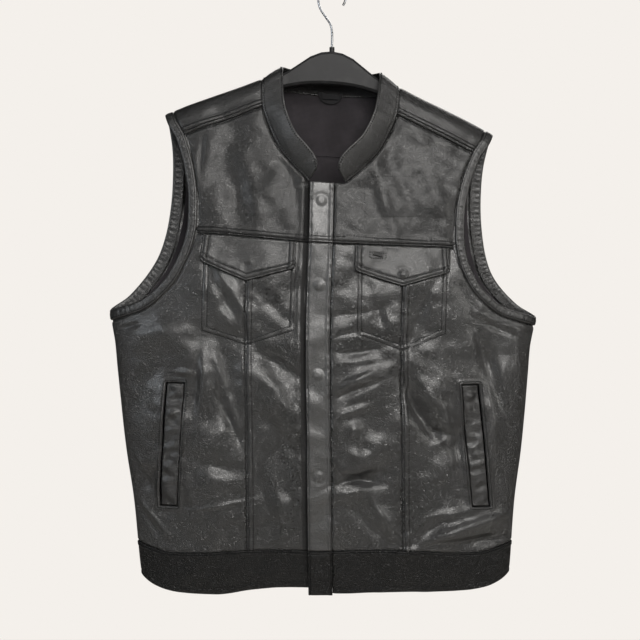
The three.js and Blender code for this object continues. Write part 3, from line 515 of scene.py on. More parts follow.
class Form:
    """The filled-out body of the hanging vest, on which every panel lies."""

    def ridge(self, u: Array) -> Array:
        """The shoulder line's height."""
        return RIDGE_LINE(np.abs(u))[..., 0]

    def half_width(self, z: Array) -> Array:
        """Half the vest's width at a height."""
        return BODY_SHAPE(z)[..., 0]

    def fullness(self, u: Array, z: Array) -> tuple[Array, Array]:
        """How full the form is across and below the shoulder line, each squared."""
        across = 1 - (np.abs(u) / self.half_width(z)) ** SQUARENESS
        below = np.minimum((self.ridge(u) - z) / RIDGE_ROUND, 1)
        return across, 1 - (1 - below) ** 2

    def field(self, u: Array, y: Array, z: Array) -> Array:
        """Below zero inside the form, zero on it."""
        body = BODY_SHAPE(z)
        across, over = self.fullness(u, z)
        return (y / np.where(y < 0, body[..., 1], body[..., 2])) ** 2 - across * over

    def fade(self, places: Places) -> Array:
        """How much of a fold is left where the form turns round."""
        across, over = self.fullness(places.u, places.z)
        return np.clip(2.5 * across, 0, 1) * np.clip(over, 0, 1)

    def folds(self, places: Places, folds: Sequence[Fold]) -> Array:
        """The height of folds over the form."""
        total = np.zeros(places.u.shape)
        for fold in folds:
            total += fold.height(places)
        return self.fade(places) * total

    def bare(self, places: Places) -> tuple[Array, Array]:
        """Points of the bare form and its outward normals.

        Args:
            places: the places.

        Returns:
            The points and the normals.
        """
        u, z = places.u, places.z
        body = BODY_SHAPE(z)
        across, over = self.fullness(u, z)
        depth = np.where(places.side < 0, body[..., 1], body[..., 2])
        y = places.side * depth * np.sqrt(np.maximum(across * over, 0))
        h = 0.01
        normal = np.stack(
            [
                self.field(u + h, y, z) - self.field(u - h, y, z),
                self.field(u, y + h, z) - self.field(u, y - h, z),
                self.field(u, y, z + h) - self.field(u, y, z - h),
            ],
            axis=-1,
        )
        return np.stack([u, y, z], axis=-1), unit(normal)

    def folded(self, places: Places) -> tuple[Array, Array]:
        """Points of the form with its main folds, and their outward normals.

        Args:
            places: the places.

        Returns:
            The points and the normals.
        """
        point, normal = self.bare(places)
        point = point + normal * self.folds(places, MAIN_FOLDS)[..., None]

        def shifted(du: float, dz: float) -> Array:
            """The main folds' height a little further on."""
            return self.folds(Places(places.u + du, places.z + dz, places.side), MAIN_FOLDS)

        slope = np.stack(
            [
                (shifted(1, 0) - shifted(-1, 0)) / 2,
                np.zeros(places.u.shape),
                (shifted(0, 1) - shifted(0, -1)) / 2,
            ],
            axis=-1,
        )
        slope -= normal * np.sum(slope * normal, axis=-1, keepdims=True)
        return point, unit(normal - slope)

    def hung(self, point: Array) -> Array:
        """Where points of the vest hang: shifted and tilted as the photograph shows."""
        hang = HANG(point[..., 2])
        made = point.copy()
        made[..., 0] += hang[..., 0]
        made[..., 2] -= hang[..., 1] * point[..., 0]
        return made

    def around(self, pairs: Array) -> Places:
        """Places from turns round the body and heights."""
        turn, z = pairs[..., 0], pairs[..., 1]
        side = np.where(np.cos(turn) < 0, B.value, F.value)
        return Places(self.half_width(z) * np.sin(turn), z, side)

    def over_shoulder(self, pairs: Array) -> Places:
        """Places from distances along the shoulder and arc lengths over its ridge.

        Args:
            pairs: the distance and the arc length of each.

        Returns:
            The places.
        """
        u, over = pairs[..., 0], pairs[..., 1]
        quarter = math.pi / 2 * RIDGE_ROUND
        arc = np.abs(over)
        round_drop = RIDGE_ROUND * (1 - np.cos(np.minimum(arc, quarter) / RIDGE_ROUND))
        drop = np.where(arc < quarter, round_drop, RIDGE_ROUND + arc - quarter)
        return Places(u, self.ridge(u) - drop, np.where(over < 0, B.value, F.value))

    def turns(self, u: Array, z: Array, face: Face = F) -> Array:
        """Pairs of a turn round the body and a height, from distances and heights."""
        u, z = np.broadcast_arrays(np.asarray(u, float), np.asarray(z, float))
        turn = np.arcsin(np.clip(u / self.half_width(z), -1, 1))
        return np.stack([turn if face is F else math.pi - turn, z], axis=-1)


FORM = Form()

YOKE = Curve(((51.6, 87, 187), (24, 89, 200), (0, 89.5, 205), (-12, 86.5, 204.5), (-24, 72, 202)))
YOKE_BACK_U = (202, 72)
HEM = Curve(
    (
        (0, -738, -794),
        (100, -738, -794),
        (160, -742, -794.5),
        (205, -742, -790.5),
        (232, -736, -782),
        (250, -730, -770),
    )
)
ARMHOLE = (
    (187, -212.6, F), (175.5, -244, F), (167.5, -282, F), (166, -314, F), (167.5, -340, F),
    (177, -372, F), (196, -404, F), (226, -429.5, F), (258, -441, F), (279, -446, F),
    (262, -433, B), (240, -413, B), (217, -382, B), (203, -345, B), (196, -300, B),
    (194.5, -256, B), (196.5, -222, B), (202, -192.5, B),
)
CHEST_KNOT = 4 / 17
ARMPIT_KNOT = 9 / 17
ARMHOLE_SEAM = through([FORM.turns(u, z, face) for u, z, face in ARMHOLE])
NECK_FRONT = ((87, -170.5), (80.8, -190.4), (66.3, -220.2), (47.6, -242.8), (22.5, -265.6))
NECK_BACK = ((50, -137.6), (25, -139.2), (0, -139.8))


def chest_seam(u: Array) -> Array:
    """The chest seam's height, which rises a little towards the armhole."""
    return CHEST_SEAM_Z + CHEST_SEAM_RISE * smoothstep(np.abs(u), 0, CHEST_END_U)


def waist_seam(u: Array) -> Array:
    """The height of the hem band's seam."""
    return HEM(np.abs(u))[..., 0]


def closure_rise(u: Array) -> Array:
    """How far the left front stands off the form, because it lies over the right front."""
    return CLOSURE_RISE * (1 - smoothstep(u, UNDERLAP_U, CLOSURE_FADE))


def no_rise(u: Array) -> Array:
    """The right front lies on the form."""
    return np.zeros(np.shape(u))


def distance_to(points: Array, line: Array) -> Array:
    """The distance from points, of any leading shape, to a line of straight stretches.

    Args:
        points: the points.
        line: the line's points.

    Returns:
        The distances.
    """
    flat = points.reshape(-1, points.shape[-1])
    start, step = line[:-1], np.diff(line, axis=0)
    size = np.maximum(np.sum(step**2, axis=1), 1e-9)
    made = np.empty(len(flat))
    for i in range(0, len(flat), 2048):
        away = flat[i : i + 2048, None, :] - start[None]
        t = np.clip(np.einsum("nsd,sd->ns", away, step) / size, 0, 1)
        made[i : i + 2048] = np.linalg.norm(away - t[..., None] * step[None], axis=2).min(axis=1)
    return made.reshape(points.shape[:-1])


def signed_distance(flat: Array, outline: Array) -> Array:
    """The distance to a pocket bag's outline, below zero inside it.

    Args:
        flat: distances from the centre and heights.
        outline: the outline, from one upper end round the foot to the other.

    Returns:
        The signed distances.
    """
    left, right = sorted((outline[0, 0], outline[-1, 0]))
    order = np.argsort(outline[1:-1, 0])
    foot = np.interp(flat[..., 0], outline[1:-1, 0][order], outline[1:-1, 1][order])
    inside = (flat[..., 0] > left) & (flat[..., 0] < right) & (flat[..., 1] > foot)
    return distance_to(flat, outline) * np.where(inside, -1.0, 1.0)


def run_of(line: Array) -> Array:
    """The length along a line of straight stretches, at each of its points."""
    return np.concatenate([[0], np.cumsum(np.linalg.norm(np.diff(line, axis=0), axis=1))])


def sampled(at: Array, run: Array, values: Array) -> Array:
    """Values at lengths along a line, from the values at its points."""
    return np.stack([np.interp(at, run, values[:, i]) for i in range(values.shape[1])], axis=1)


def walked(line: Array, pitch: float) -> Array:
    """Even steps along a line of straight stretches."""
    run = run_of(line)
    count = max(int(run[-1] / pitch), 1)
    return sampled(np.linspace(0, run[-1], count + 1), run, line)


class Shader:
    """A material's node tree, built one node at a time."""

    def __init__(self, name: str) -> None:
        """Starts a material with its surface shader."""
        self.material = bpy.data.materials.new(name)
        self.material.use_nodes = True
        self.tree = self.material.node_tree
        self.surface = self.tree.nodes["Principled BSDF"]

    def node(self, kind: str, sockets: dict | None = None, **settings: object) -> bpy.types.Node:
        """Adds a node.

        Args:
            kind: the node's type.
            sockets: what goes into its inputs, by name or number: a value or another node's output.
            settings: the node's own options.

        Returns:
            The node.
        """
        made = self.tree.nodes.new(kind)
        for key, value in settings.items():
            setattr(made, key, value)
        self.feed(made, sockets or {})
        return made

    def feed(self, node: bpy.types.Node, sockets: dict) -> None:
        """Sets or links a node's inputs."""
        for key, value in sockets.items():
            if isinstance(value, Socket):
                self.tree.links.new(value, node.inputs[key])
            else:
                node.inputs[key].default_value = value

    def place(self) -> Socket:
        """Where a point lies on its object."""
        return self.node("ShaderNodeTexCoord").outputs["Object"]

    def kept(self, name: str) -> Socket:
        """A number kept at the mesh's points."""
        return self.node("ShaderNodeAttribute", attribute_name=name).outputs["Fac"]

    def noise(self, place: Socket, scale: float, detail: float) -> Socket:
        """Soft noise from 0 to 1."""
        sockets = {"Vector": place, "Scale": scale, "Detail": detail}
        return self.node("ShaderNodeTexNoise", sockets).outputs["Fac"]

    def bump(self, height: Socket, strength: float, depth: float, **under: Socket) -> Socket:
        """The normal that a height gives, over another one if it is named."""
        sockets = {"Strength": strength, "Distance": depth, "Height": height, **under}
        return self.node("ShaderNodeBump", sockets).outputs[0]

    def dressed(self, sockets: dict) -> Material:
        """Sets or links the surface's inputs, and gives the material."""
        self.feed(self.surface, sockets)
        return self.material

    def maths(self, operation: str, a: object, b: object = 0.0) -> Socket:
        """The result of a sum on two numbers or outputs."""
        return self.node("ShaderNodeMath", {0: a, 1: b}, operation=operation).outputs[0]

    def span(self, value: object, low: float, high: float, to_low: float, to_high: float) -> object:
        """A value moved smoothly from one range to another."""
        sockets = {"Value": value, "From Min": low, "From Max": high, "To Min": to_low, "To Max": to_high}
        return self.node("ShaderNodeMapRange", sockets, interpolation_type="SMOOTHSTEP").outputs[0]

    def mixed(self, share: object, a: tuple, b: tuple) -> Socket:
        """A colour between two colours.

        Args:
            share: how much of the second colour.
            a: the first colour.
            b: the second.

        Returns:
            The colour's socket.
        """
        made = self.node("ShaderNodeMix", {"Factor": share}, data_type="RGBA")
        for key, colour in ((6, a), (7, b)):
            if isinstance(colour, Socket):
                self.tree.links.new(colour, made.inputs[key])
            else:
                made.inputs[key].default_value = (*colour, 1)
        return made.outputs[2]


@dataclass(frozen=True)
class LeatherFinish:
    """Black chrome-tanned leather with a pebbled grain and a semi-gloss top coat."""

    name: str
    pebble: float = 1.9
    grain: float = 0.8
    clump: float = 0.6
    roughness: float = 0.4
    gloss: float = 0.95
    coat: float = 0.35
    tone: tuple[float, float, float] = (0.002, 0.0019, 0.0019)
    worn: tuple[float, float, float] = (0.009, 0.0087, 0.008)
    # deep: the darkest tone, for the grain's valleys and for the painted shade at edges, sewn rows and
    # beside the placket.
    deep: tuple[float, float, float] = (0.001, 0.001, 0.0011)

    def grooves_and_shade(self, shader: Shader) -> Socket:
        """How near a sewn row, a drawn row or the strip of painted shade beside the placket lies, 0 on it
        and 1 beside it.
        """
        nearest = shader.kept("row_mm")
        for name in ("line_a", "line_b"):
            line = shader.kept(name)
            nearest = shader.maths("MINIMUM", nearest, shader.maths("ABSOLUTE", line))
        return shader.span(nearest, 0.15, 0.75, 0.0, 1.0)

    def material(self) -> Material:
        """Builds the material.

        Returns:
            The leather.
        """
        shader = Shader(self.name)
        place = shader.place()
        edge = shader.kept("edge_mm")
        drift = shader.node("ShaderNodeTexNoise", {"Vector": place, "Scale": 260.0, "Detail": 1.0})
        pushed = {0: drift.outputs["Color"], "Scale": 0.0018}
        shift = shader.node("ShaderNodeVectorMath", pushed, operation="SCALE").outputs[0]
        bent = shader.node("ShaderNodeVectorMath", {0: place, 1: shift}, operation="ADD").outputs[0]
        cells = shader.node(
            "ShaderNodeTexVoronoi", {"Vector": bent, "Scale": 1000 / self.pebble, "Randomness": 0.9},
            feature="DISTANCE_TO_EDGE",
        ).outputs["Distance"]
        pebbles = shader.span(cells, 0.0, 0.24, 0.0, 1.0)
        broad = shader.noise(place, 13.0, 3.0)
        cloud = shader.noise(place, 45.0, 1.5)
        clumps = shader.noise(bent, 330.0, 1.5)
        fibre = shader.noise(place, 900.0, 2.0)
        patch = shader.span(broad, 0.4, 0.62, 0.0, 1.0)
        share = shader.span(broad, 0.35, 0.65, 0.85, 1.0)
        pressed = shader.maths("MULTIPLY", pebbles, share)
        groove_and_shade = self.grooves_and_shade(shader)
        bump = shader.bump(cloud, 0.8, 0.0014)
        for height, strength, depth in (
            (clumps, self.clump, 0.0008),
            (pressed, self.grain, 0.0006),
            (fibre, 0.3, 0.0001),
            (groove_and_shade, 0.9, 0.0007),
        ):
            bump = shader.bump(height, strength, depth, Normal=bump)
        worn_edge = shader.span(edge, 1.0, 3.6, 1.0, 0.0)
        rub = shader.maths("MULTIPLY", worn_edge, shader.span(cloud, 0.4, 0.65, 0.15, 0.8))
        valley = shader.maths("SUBTRACT", 1.0, pebbles)
        colour = shader.mixed(shader.maths("MULTIPLY", patch, 0.3), self.tone, self.worn)
        colour = shader.mixed(shader.maths("MULTIPLY", rub, 0.5), colour, self.worn)
        colour = shader.mixed(shader.maths("MULTIPLY", valley, 0.6), colour, self.deep)
        # Painted shade: the colour turns to the deep tone right at the panels' edges, along the sewn rows'
        # grooves and in the strip beside the placket, where shadow falls; lit is 0 there.
        brink = shader.span(edge, 0.1, 0.6, 0.0, 1.0)
        lit = shader.maths("MULTIPLY", brink, groove_and_shade)
        colour = shader.mixed(lit, self.deep, colour)
        rough = shader.span(broad, 0.3, 0.7, self.roughness + 0.06, self.roughness - 0.05)
        for share in (
            shader.maths("MULTIPLY", valley, 0.06), shader.span(clumps, 0.35, 0.65, 0.06, -0.06),
            shader.span(lit, 0.0, 1.0, 0.5, 0.0), shader.maths("MULTIPLY", worn_edge, -0.1),
        ):
            rough = shader.maths("ADD", rough, share)
        return shader.dressed(
            {
                "Base Color": colour, "Roughness": rough, "Normal": bump, "Specular IOR Level": self.gloss,
                "Coat Weight": self.coat, "Coat Roughness": 0.3,
            }
        )


@dataclass(frozen=True)
class ThreadFinish:
    """Waxed sewing thread with its twist."""

    name: str
    tone: tuple[float, float, float] = (0.0025, 0.0025, 0.0028)
    roughness: float = 0.85

    def material(self) -> Material:
        """Builds the material.

        Returns:
            The thread.
        """
        shader = Shader(self.name)
        place = shader.place()
        fuzz = shader.noise(place, 1500.0, 2.0)
        colour = shader.mixed(fuzz, tuple(0.6 * c for c in self.tone), tuple(1.5 * c for c in self.tone))
        bump = shader.bump(fuzz, 0.5, 0.00015)
        return shader.dressed(
            {"Base Color": colour, "Normal": bump, "Roughness": self.roughness, "Specular IOR Level": 0.12}
        )


@dataclass(frozen=True)
class LiningFinish:
    """Woven or mesh cloth, its threads drawn on the piece's own map."""

    name: str
    mesh: float = 1.6
    tone: tuple[float, float, float] = (0.021, 0.0185, 0.021)
    hole: tuple[float, float, float] = (0.009, 0.008, 0.009)

    def material(self) -> Material:
        """Builds the material.

        Returns:
            The mesh cloth.
        """
        shader = Shader(self.name)
        place = shader.node("ShaderNodeUVMap", uv_map="cloth").outputs["UV"]
        cells = shader.node(
            "ShaderNodeTexVoronoi", {"Vector": place, "Scale": 1000 / self.mesh, "Randomness": 0.12},
            feature="F1", voronoi_dimensions="2D",
        ).outputs["Distance"]
        holes = shader.span(cells, 0.18, 0.42, 0.0, 1.0)
        broad = shader.noise(place, 30.0, 3.0)
        bump = shader.bump(holes, 0.6, 0.0004)
        colour = shader.mixed(holes, self.hole, self.tone)
        faded = shader.span(broad, 0.4, 0.7, 0.0, 0.4)
        colour = shader.mixed(faded, colour, tuple(1.7 * c for c in self.tone))
        return shader.dressed(
            {
                "Base Color": colour, "Normal": bump, "Roughness": 0.85, "Specular IOR Level": 0.2,
                "Sheen Weight": 0.05, "Sheen Roughness": 0.5,
            }
        )


@dataclass(frozen=True)
class PlasticFinish:
    """Moulded black plastic, finely spark-textured and a little scuffed."""

    name: str
    tone: tuple[float, float, float] = (0.012, 0.012, 0.0125)

    def material(self) -> Material:
        """Builds the material.

        Returns:
            The plastic.
        """
        shader = Shader(self.name)
        place = shader.place()
        fine = shader.noise(place, 1400.0, 2.0)
        broad = shader.noise(place, 60.0, 5.0)
        bump = shader.bump(fine, 0.3, 0.0001)
        colour = shader.mixed(shader.span(broad, 0.45, 0.75, 0.0, 1.0), self.tone, (0.022, 0.022, 0.023))
        return shader.dressed(
            {
                "Base Color": colour, "Normal": bump, "Roughness": shader.span(broad, 0.3, 0.7, 0.48, 0.58),
                "Specular IOR Level": 0.22,
            }
        )


@dataclass(frozen=True)
class SteelFinish:
    """Drawn wire or pressed metal with fine marks."""

    name: str
    tone: tuple[float, float, float] = (0.62, 0.63, 0.65)
    roughness: float = 0.24

    def material(self) -> Material:
        """Builds the material.

        Returns:
            The steel.
        """
        shader = Shader(self.name)
        place = shader.place()
        marks = shader.noise(place, 700.0, 3.0)
        bump = shader.bump(marks, 0.15, 0.00005)
        dull = shader.span(marks, 0.35, 0.75, self.roughness - 0.05, self.roughness + 0.12)
        colour = shader.mixed(marks, self.tone, tuple(0.75 * c for c in self.tone))
        return shader.dressed({"Base Color": colour, "Normal": bump, "Roughness": dull, "Metallic": 1.0})


def once(finish: LeatherFinish | ThreadFinish | LiningFinish | PlasticFinish | SteelFinish) -> Material:
    """A field that holds a finish's material, made once."""
    return field(default_factory=finish.material)


@dataclass
class Finishes:
    """Every material of the vest, made once."""

    leather: Material = once(LeatherFinish("leather_body", grain=1.0, roughness=0.36))
    smooth: Material = once(
        LeatherFinish(
            "leather_chest", pebble=1.6, grain=0.7, clump=0.5, roughness=0.38, gloss=0.6, coat=0.15
        )
    )
    placket: Material = once(
        LeatherFinish("leather_placket", pebble=1.5, grain=0.5, clump=0.5, gloss=1.0, coat=0.6)
    )
    band: Material = once(
        LeatherFinish(
            "leather_band", pebble=2.2, grain=1.0, clump=1.0, roughness=0.38, gloss=0.35, coat=0.05
        )
    )
    trim: Material = once(
        LeatherFinish("leather_trim", pebble=1.5, grain=0.6, clump=0.5, gloss=0.75, coat=0.25)
    )
    thread: Material = once(ThreadFinish("thread_black"))
    accent: Material = once(ThreadFinish("thread_red", (0.35, 0.02, 0.02), 0.6))
    hole: Material = once(ThreadFinish("needle_holes", (0.004, 0.004, 0.004), 0.9))
    mesh: Material = once(LiningFinish("lining_mesh"))
    tape: Material = once(LiningFinish("tape_black", mesh=0.8, tone=(0.014, 0.014, 0.015)))
    plastic: Material = once(PlasticFinish("plastic_black"))
    steel: Material = once(SteelFinish("steel_wire"))
    cap: Material = once(SteelFinish("snap_metal", (0.09, 0.09, 0.095), 0.35))


def made_mesh(name: str, points: Array, faces: Sequence[Sequence[int]]) -> Piece:
    """A smooth mesh object in the scene, from points in millimetres and the corners of its faces.

    Args:
        name: its name.
        points: its points.
        faces: each face's corners.

    Returns:
        The object.
    """
    mesh = bpy.data.meshes.new(name)
    mesh.from_pydata((points.reshape(-1, 3) * MM).tolist(), [], [list(face) for face in faces])
    mesh.polygons.foreach_set("use_smooth", [True] * len(mesh.polygons))
    mesh.update()
    made = bpy.data.objects.new(name, mesh)
    bpy.context.scene.collection.objects.link(made)
    return made


def grid_faces(rows: int, columns: int, ring: bool = False, skip: Array | None = None) -> Array:
    """The quads of a grid of points.

    Args:
        rows: how many rows of points.
        columns: how many points in a row.
        ring: whether each row closes on itself.
        skip: which quads are left out, rows first.

    Returns:
        The corners of each quad.
    """
    spans = columns if ring else columns - 1
    i, j = np.meshgrid(np.arange(rows - 1), np.arange(spans), indexing="ij")
    k = (j + 1) % columns
    this, following = i * columns, (i + 1) * columns
    quads = np.stack([this + j, following + j, following + k, this + k], axis=-1)
    return quads.reshape(-1, 4) if skip is None else quads[~skip]


def store(
    piece: Piece, edge: Array, row: Array, line_a: Array | float = FAR, line_b: Array | float = FAR
) -> None:
    """Keeps how far each point of a mesh is from its edge, its sewn rows and any strip of painted shade,
    and two drawn lines.
    """
    named = {"edge_mm": np.minimum(edge, FAR), "row_mm": row, "line_a": line_a, "line_b": line_b}
    for name, values in named.items():
        every = np.broadcast_to(values, edge.shape).ravel().astype(np.float32)
        piece.data.attributes.new(name, "FLOAT", "POINT").data.foreach_set("value", every)


def joined(rows: Sequence[tuple[Array, Array, Array]]) -> list[Array]:
    """Several rows of stitches as one."""
    return [np.concatenate(column) for column in zip(*rows)]


def face_tree(points: Array, faces: Sequence[Sequence[int]]) -> BVHTree:
    """A mesh's faces, for finding the nearest place on them."""
    return BVHTree.FromPolygons((points.reshape(-1, 3) * MM).tolist(), [list(face) for face in faces])


def set_on(tree: BVHTree, line: Array, along: Array) -> tuple[Array, Array, Array]:
    """The places on a face nearest to a line's points, with the line's directions and the face's normals.

    Args:
        tree: the face.
        line: the line's points.
        along: its directions.

    Returns:
        The places, directions and normals.
    """
    found = [tree.find_nearest(Vector(point * MM), 0.02) for point in line]
    keep = np.array([hit[0] is not None for hit in found])
    if not keep.any():
        return np.empty((0, 3)), np.empty((0, 3)), np.empty((0, 3))
    places = np.array([hit[0] for hit in found if hit[0] is not None]) / MM
    normals = np.array([hit[1] for hit in found if hit[0] is not None])
    return places, along[keep], normals


def map_cloth(piece: Piece, pairs: Array) -> None:
    """Gives a mesh its cloth map, in metres, from a pair at each point."""
    corners = np.empty(len(piece.data.loops), np.int32)
    piece.data.loops.foreach_get("vertex_index", corners)
    layer = piece.data.uv_layers.new(name="cloth")
    layer.data.foreach_set("uv", (pairs.reshape(-1, 2)[corners] * MM).ravel().astype(np.float32))


def apply_modifiers(piece: Piece) -> None:
    """Applies all of a piece's modifiers, in order.

    Args:
        piece: the object.
    """
    bpy.ops.object.select_all(action="DESELECT")
    bpy.context.view_layer.objects.active = piece
    piece.select_set(True)
    for modifier in list(piece.modifiers):
        bpy.ops.object.modifier_apply(modifier=modifier.name)
    piece.select_set(False)


def thickened(piece: Piece, thickness: float) -> None:
    """Gives a sheet its wall, inwards from the face that shows."""
    wall = piece.modifiers.new("wall", "SOLIDIFY")
    wall.thickness = thickness * MM
    wall.offset = -1
    wall.use_rim = True
    apply_modifiers(piece)


def fitted(piece: Piece, material: Material, slot: str, *nodes: str) -> None:
    """Dresses a finished piece and ties it to the frame.

    Args:
        piece: the finished object.
        material: its finish.
        slot: the record's material slot; not used.
        nodes: the solids that it stands for.
    """
    piece.data.materials.clear()
    piece.data.materials.append(material)
    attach(piece, BODY)
    if nodes:
        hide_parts(*nodes)
    LOG.info("%s: %d faces", piece.name, len(piece.data.polygons))


class Thread:
    """Sewn rows: one stitch is modelled once and copied along every row."""

    def __init__(self, finishes: Finishes) -> None:
        """Models the stitch and keeps the vest's materials.

        Args:
            finishes: the materials.
        """
        self.finishes = finishes
        bpy.ops.object.select_all(action="DESELECT")
        bpy.ops.mesh.primitive_ico_sphere_add(subdivisions=1, radius=1.0)
        pattern = bpy.context.active_object
        bpy.ops.object.mode_set(mode="EDIT")
        bpy.ops.mesh.select_all(action="SELECT")
        bpy.ops.transform.resize(value=(0.32, 0.38, 0.3))
        bpy.ops.object.mode_set(mode="OBJECT")
        self.points = np.array([vertex.co for vertex in pattern.data.vertices])
        self.faces = np.array([face.vertices for face in pattern.data.polygons])
        bpy.data.objects.remove(pattern)

    def sew(
        self, name: str, places: Array, along: Array, normals: Array, size: float = 2.3,
        material: Material | None = None, slot: str = "leather",
    ) -> Piece:
        """Sews stitches as one piece.

        Args:
            name: the piece's name.
            places: the middle of each stitch on the surface.
            along: its direction.
            normals: the surface's normal there.
            size: the length of a stitch.
            material: its thread, black if none is given.
            slot: the record's material slot; not used.

        Returns:
            The sewn rows as one object.
        """
        normals = unit(normals)
        along = unit(along - normals * np.sum(along * normals, axis=1, keepdims=True))
        athwart = np.cross(normals, along)
        axes = np.stack([along, athwart, normals], axis=1)
        local = self.points * size
        points = np.einsum("pk,nkd->npd", local, axes) + (places + normals * 0.16)[:, None, :]
        shift = np.arange(len(places))[:, None, None] * len(self.points)
        faces = (self.faces[None] + shift).reshape(-1, 3)
        made = made_mesh(name, points, faces)
        fitted(made, material or self.finishes.thread, slot)
        return made


@dataclass(frozen=True)
class Seam:
    """How one edge of a panel is sewn, and its sewn rows by their distance from the edge."""

    rim: Rim
    kind: SeamKind
    rows: tuple[float, ...] = ()
    band: float = 9.5

    def height(self, away: Array, along: Array, seed: float) -> Array:
        """How the edge shapes the leather near it.

        Args:
            away: the distance from the edge.
            along: a length along the edge.
            seed: shifts the puckers.

        Returns:
            The height over the panel.
        """
        if self.kind is OVER:
            made = 0.95 * (1 - smoothstep(away, self.band - 1.2, self.band + 2.2))
            made -= 2.0 * np.clip(1 - away / 1.3, 0, 1) ** 2
        elif self.kind is UNDER:
            made = -1.4 * bell(away, 1.5)
        elif self.kind is FREE:
            made = -2.0 * np.clip(1 - away / 1.3, 0, 1) ** 2
        else:
            made = -1.5 * bell(away, 1.8)
        pucker = np.sin(along / 1.75 + seed + 1.6 * np.sin(along / 9.0 + seed))
        pucker += 0.7 * np.sin(along / 2.9 - 2 * seed)
        for row in self.rows:
            made -= 0.65 * bell(away - row, 0.9)
            made += 0.18 * pucker * bell(away - row, 2.8)
        if len(self.rows) == 2:
            middle = sum(self.rows) / 2
            made += 1.0 * bell(away - middle, 1.9)
        return made


def four_seams(*edges: tuple) -> tuple[Seam, ...]:
    """The seams of a panel's top, bottom, inner and outer edge, each from its kind, rows and lap."""
    return tuple(Seam(rim, *edge) for rim, edge in zip(Rim, edges))


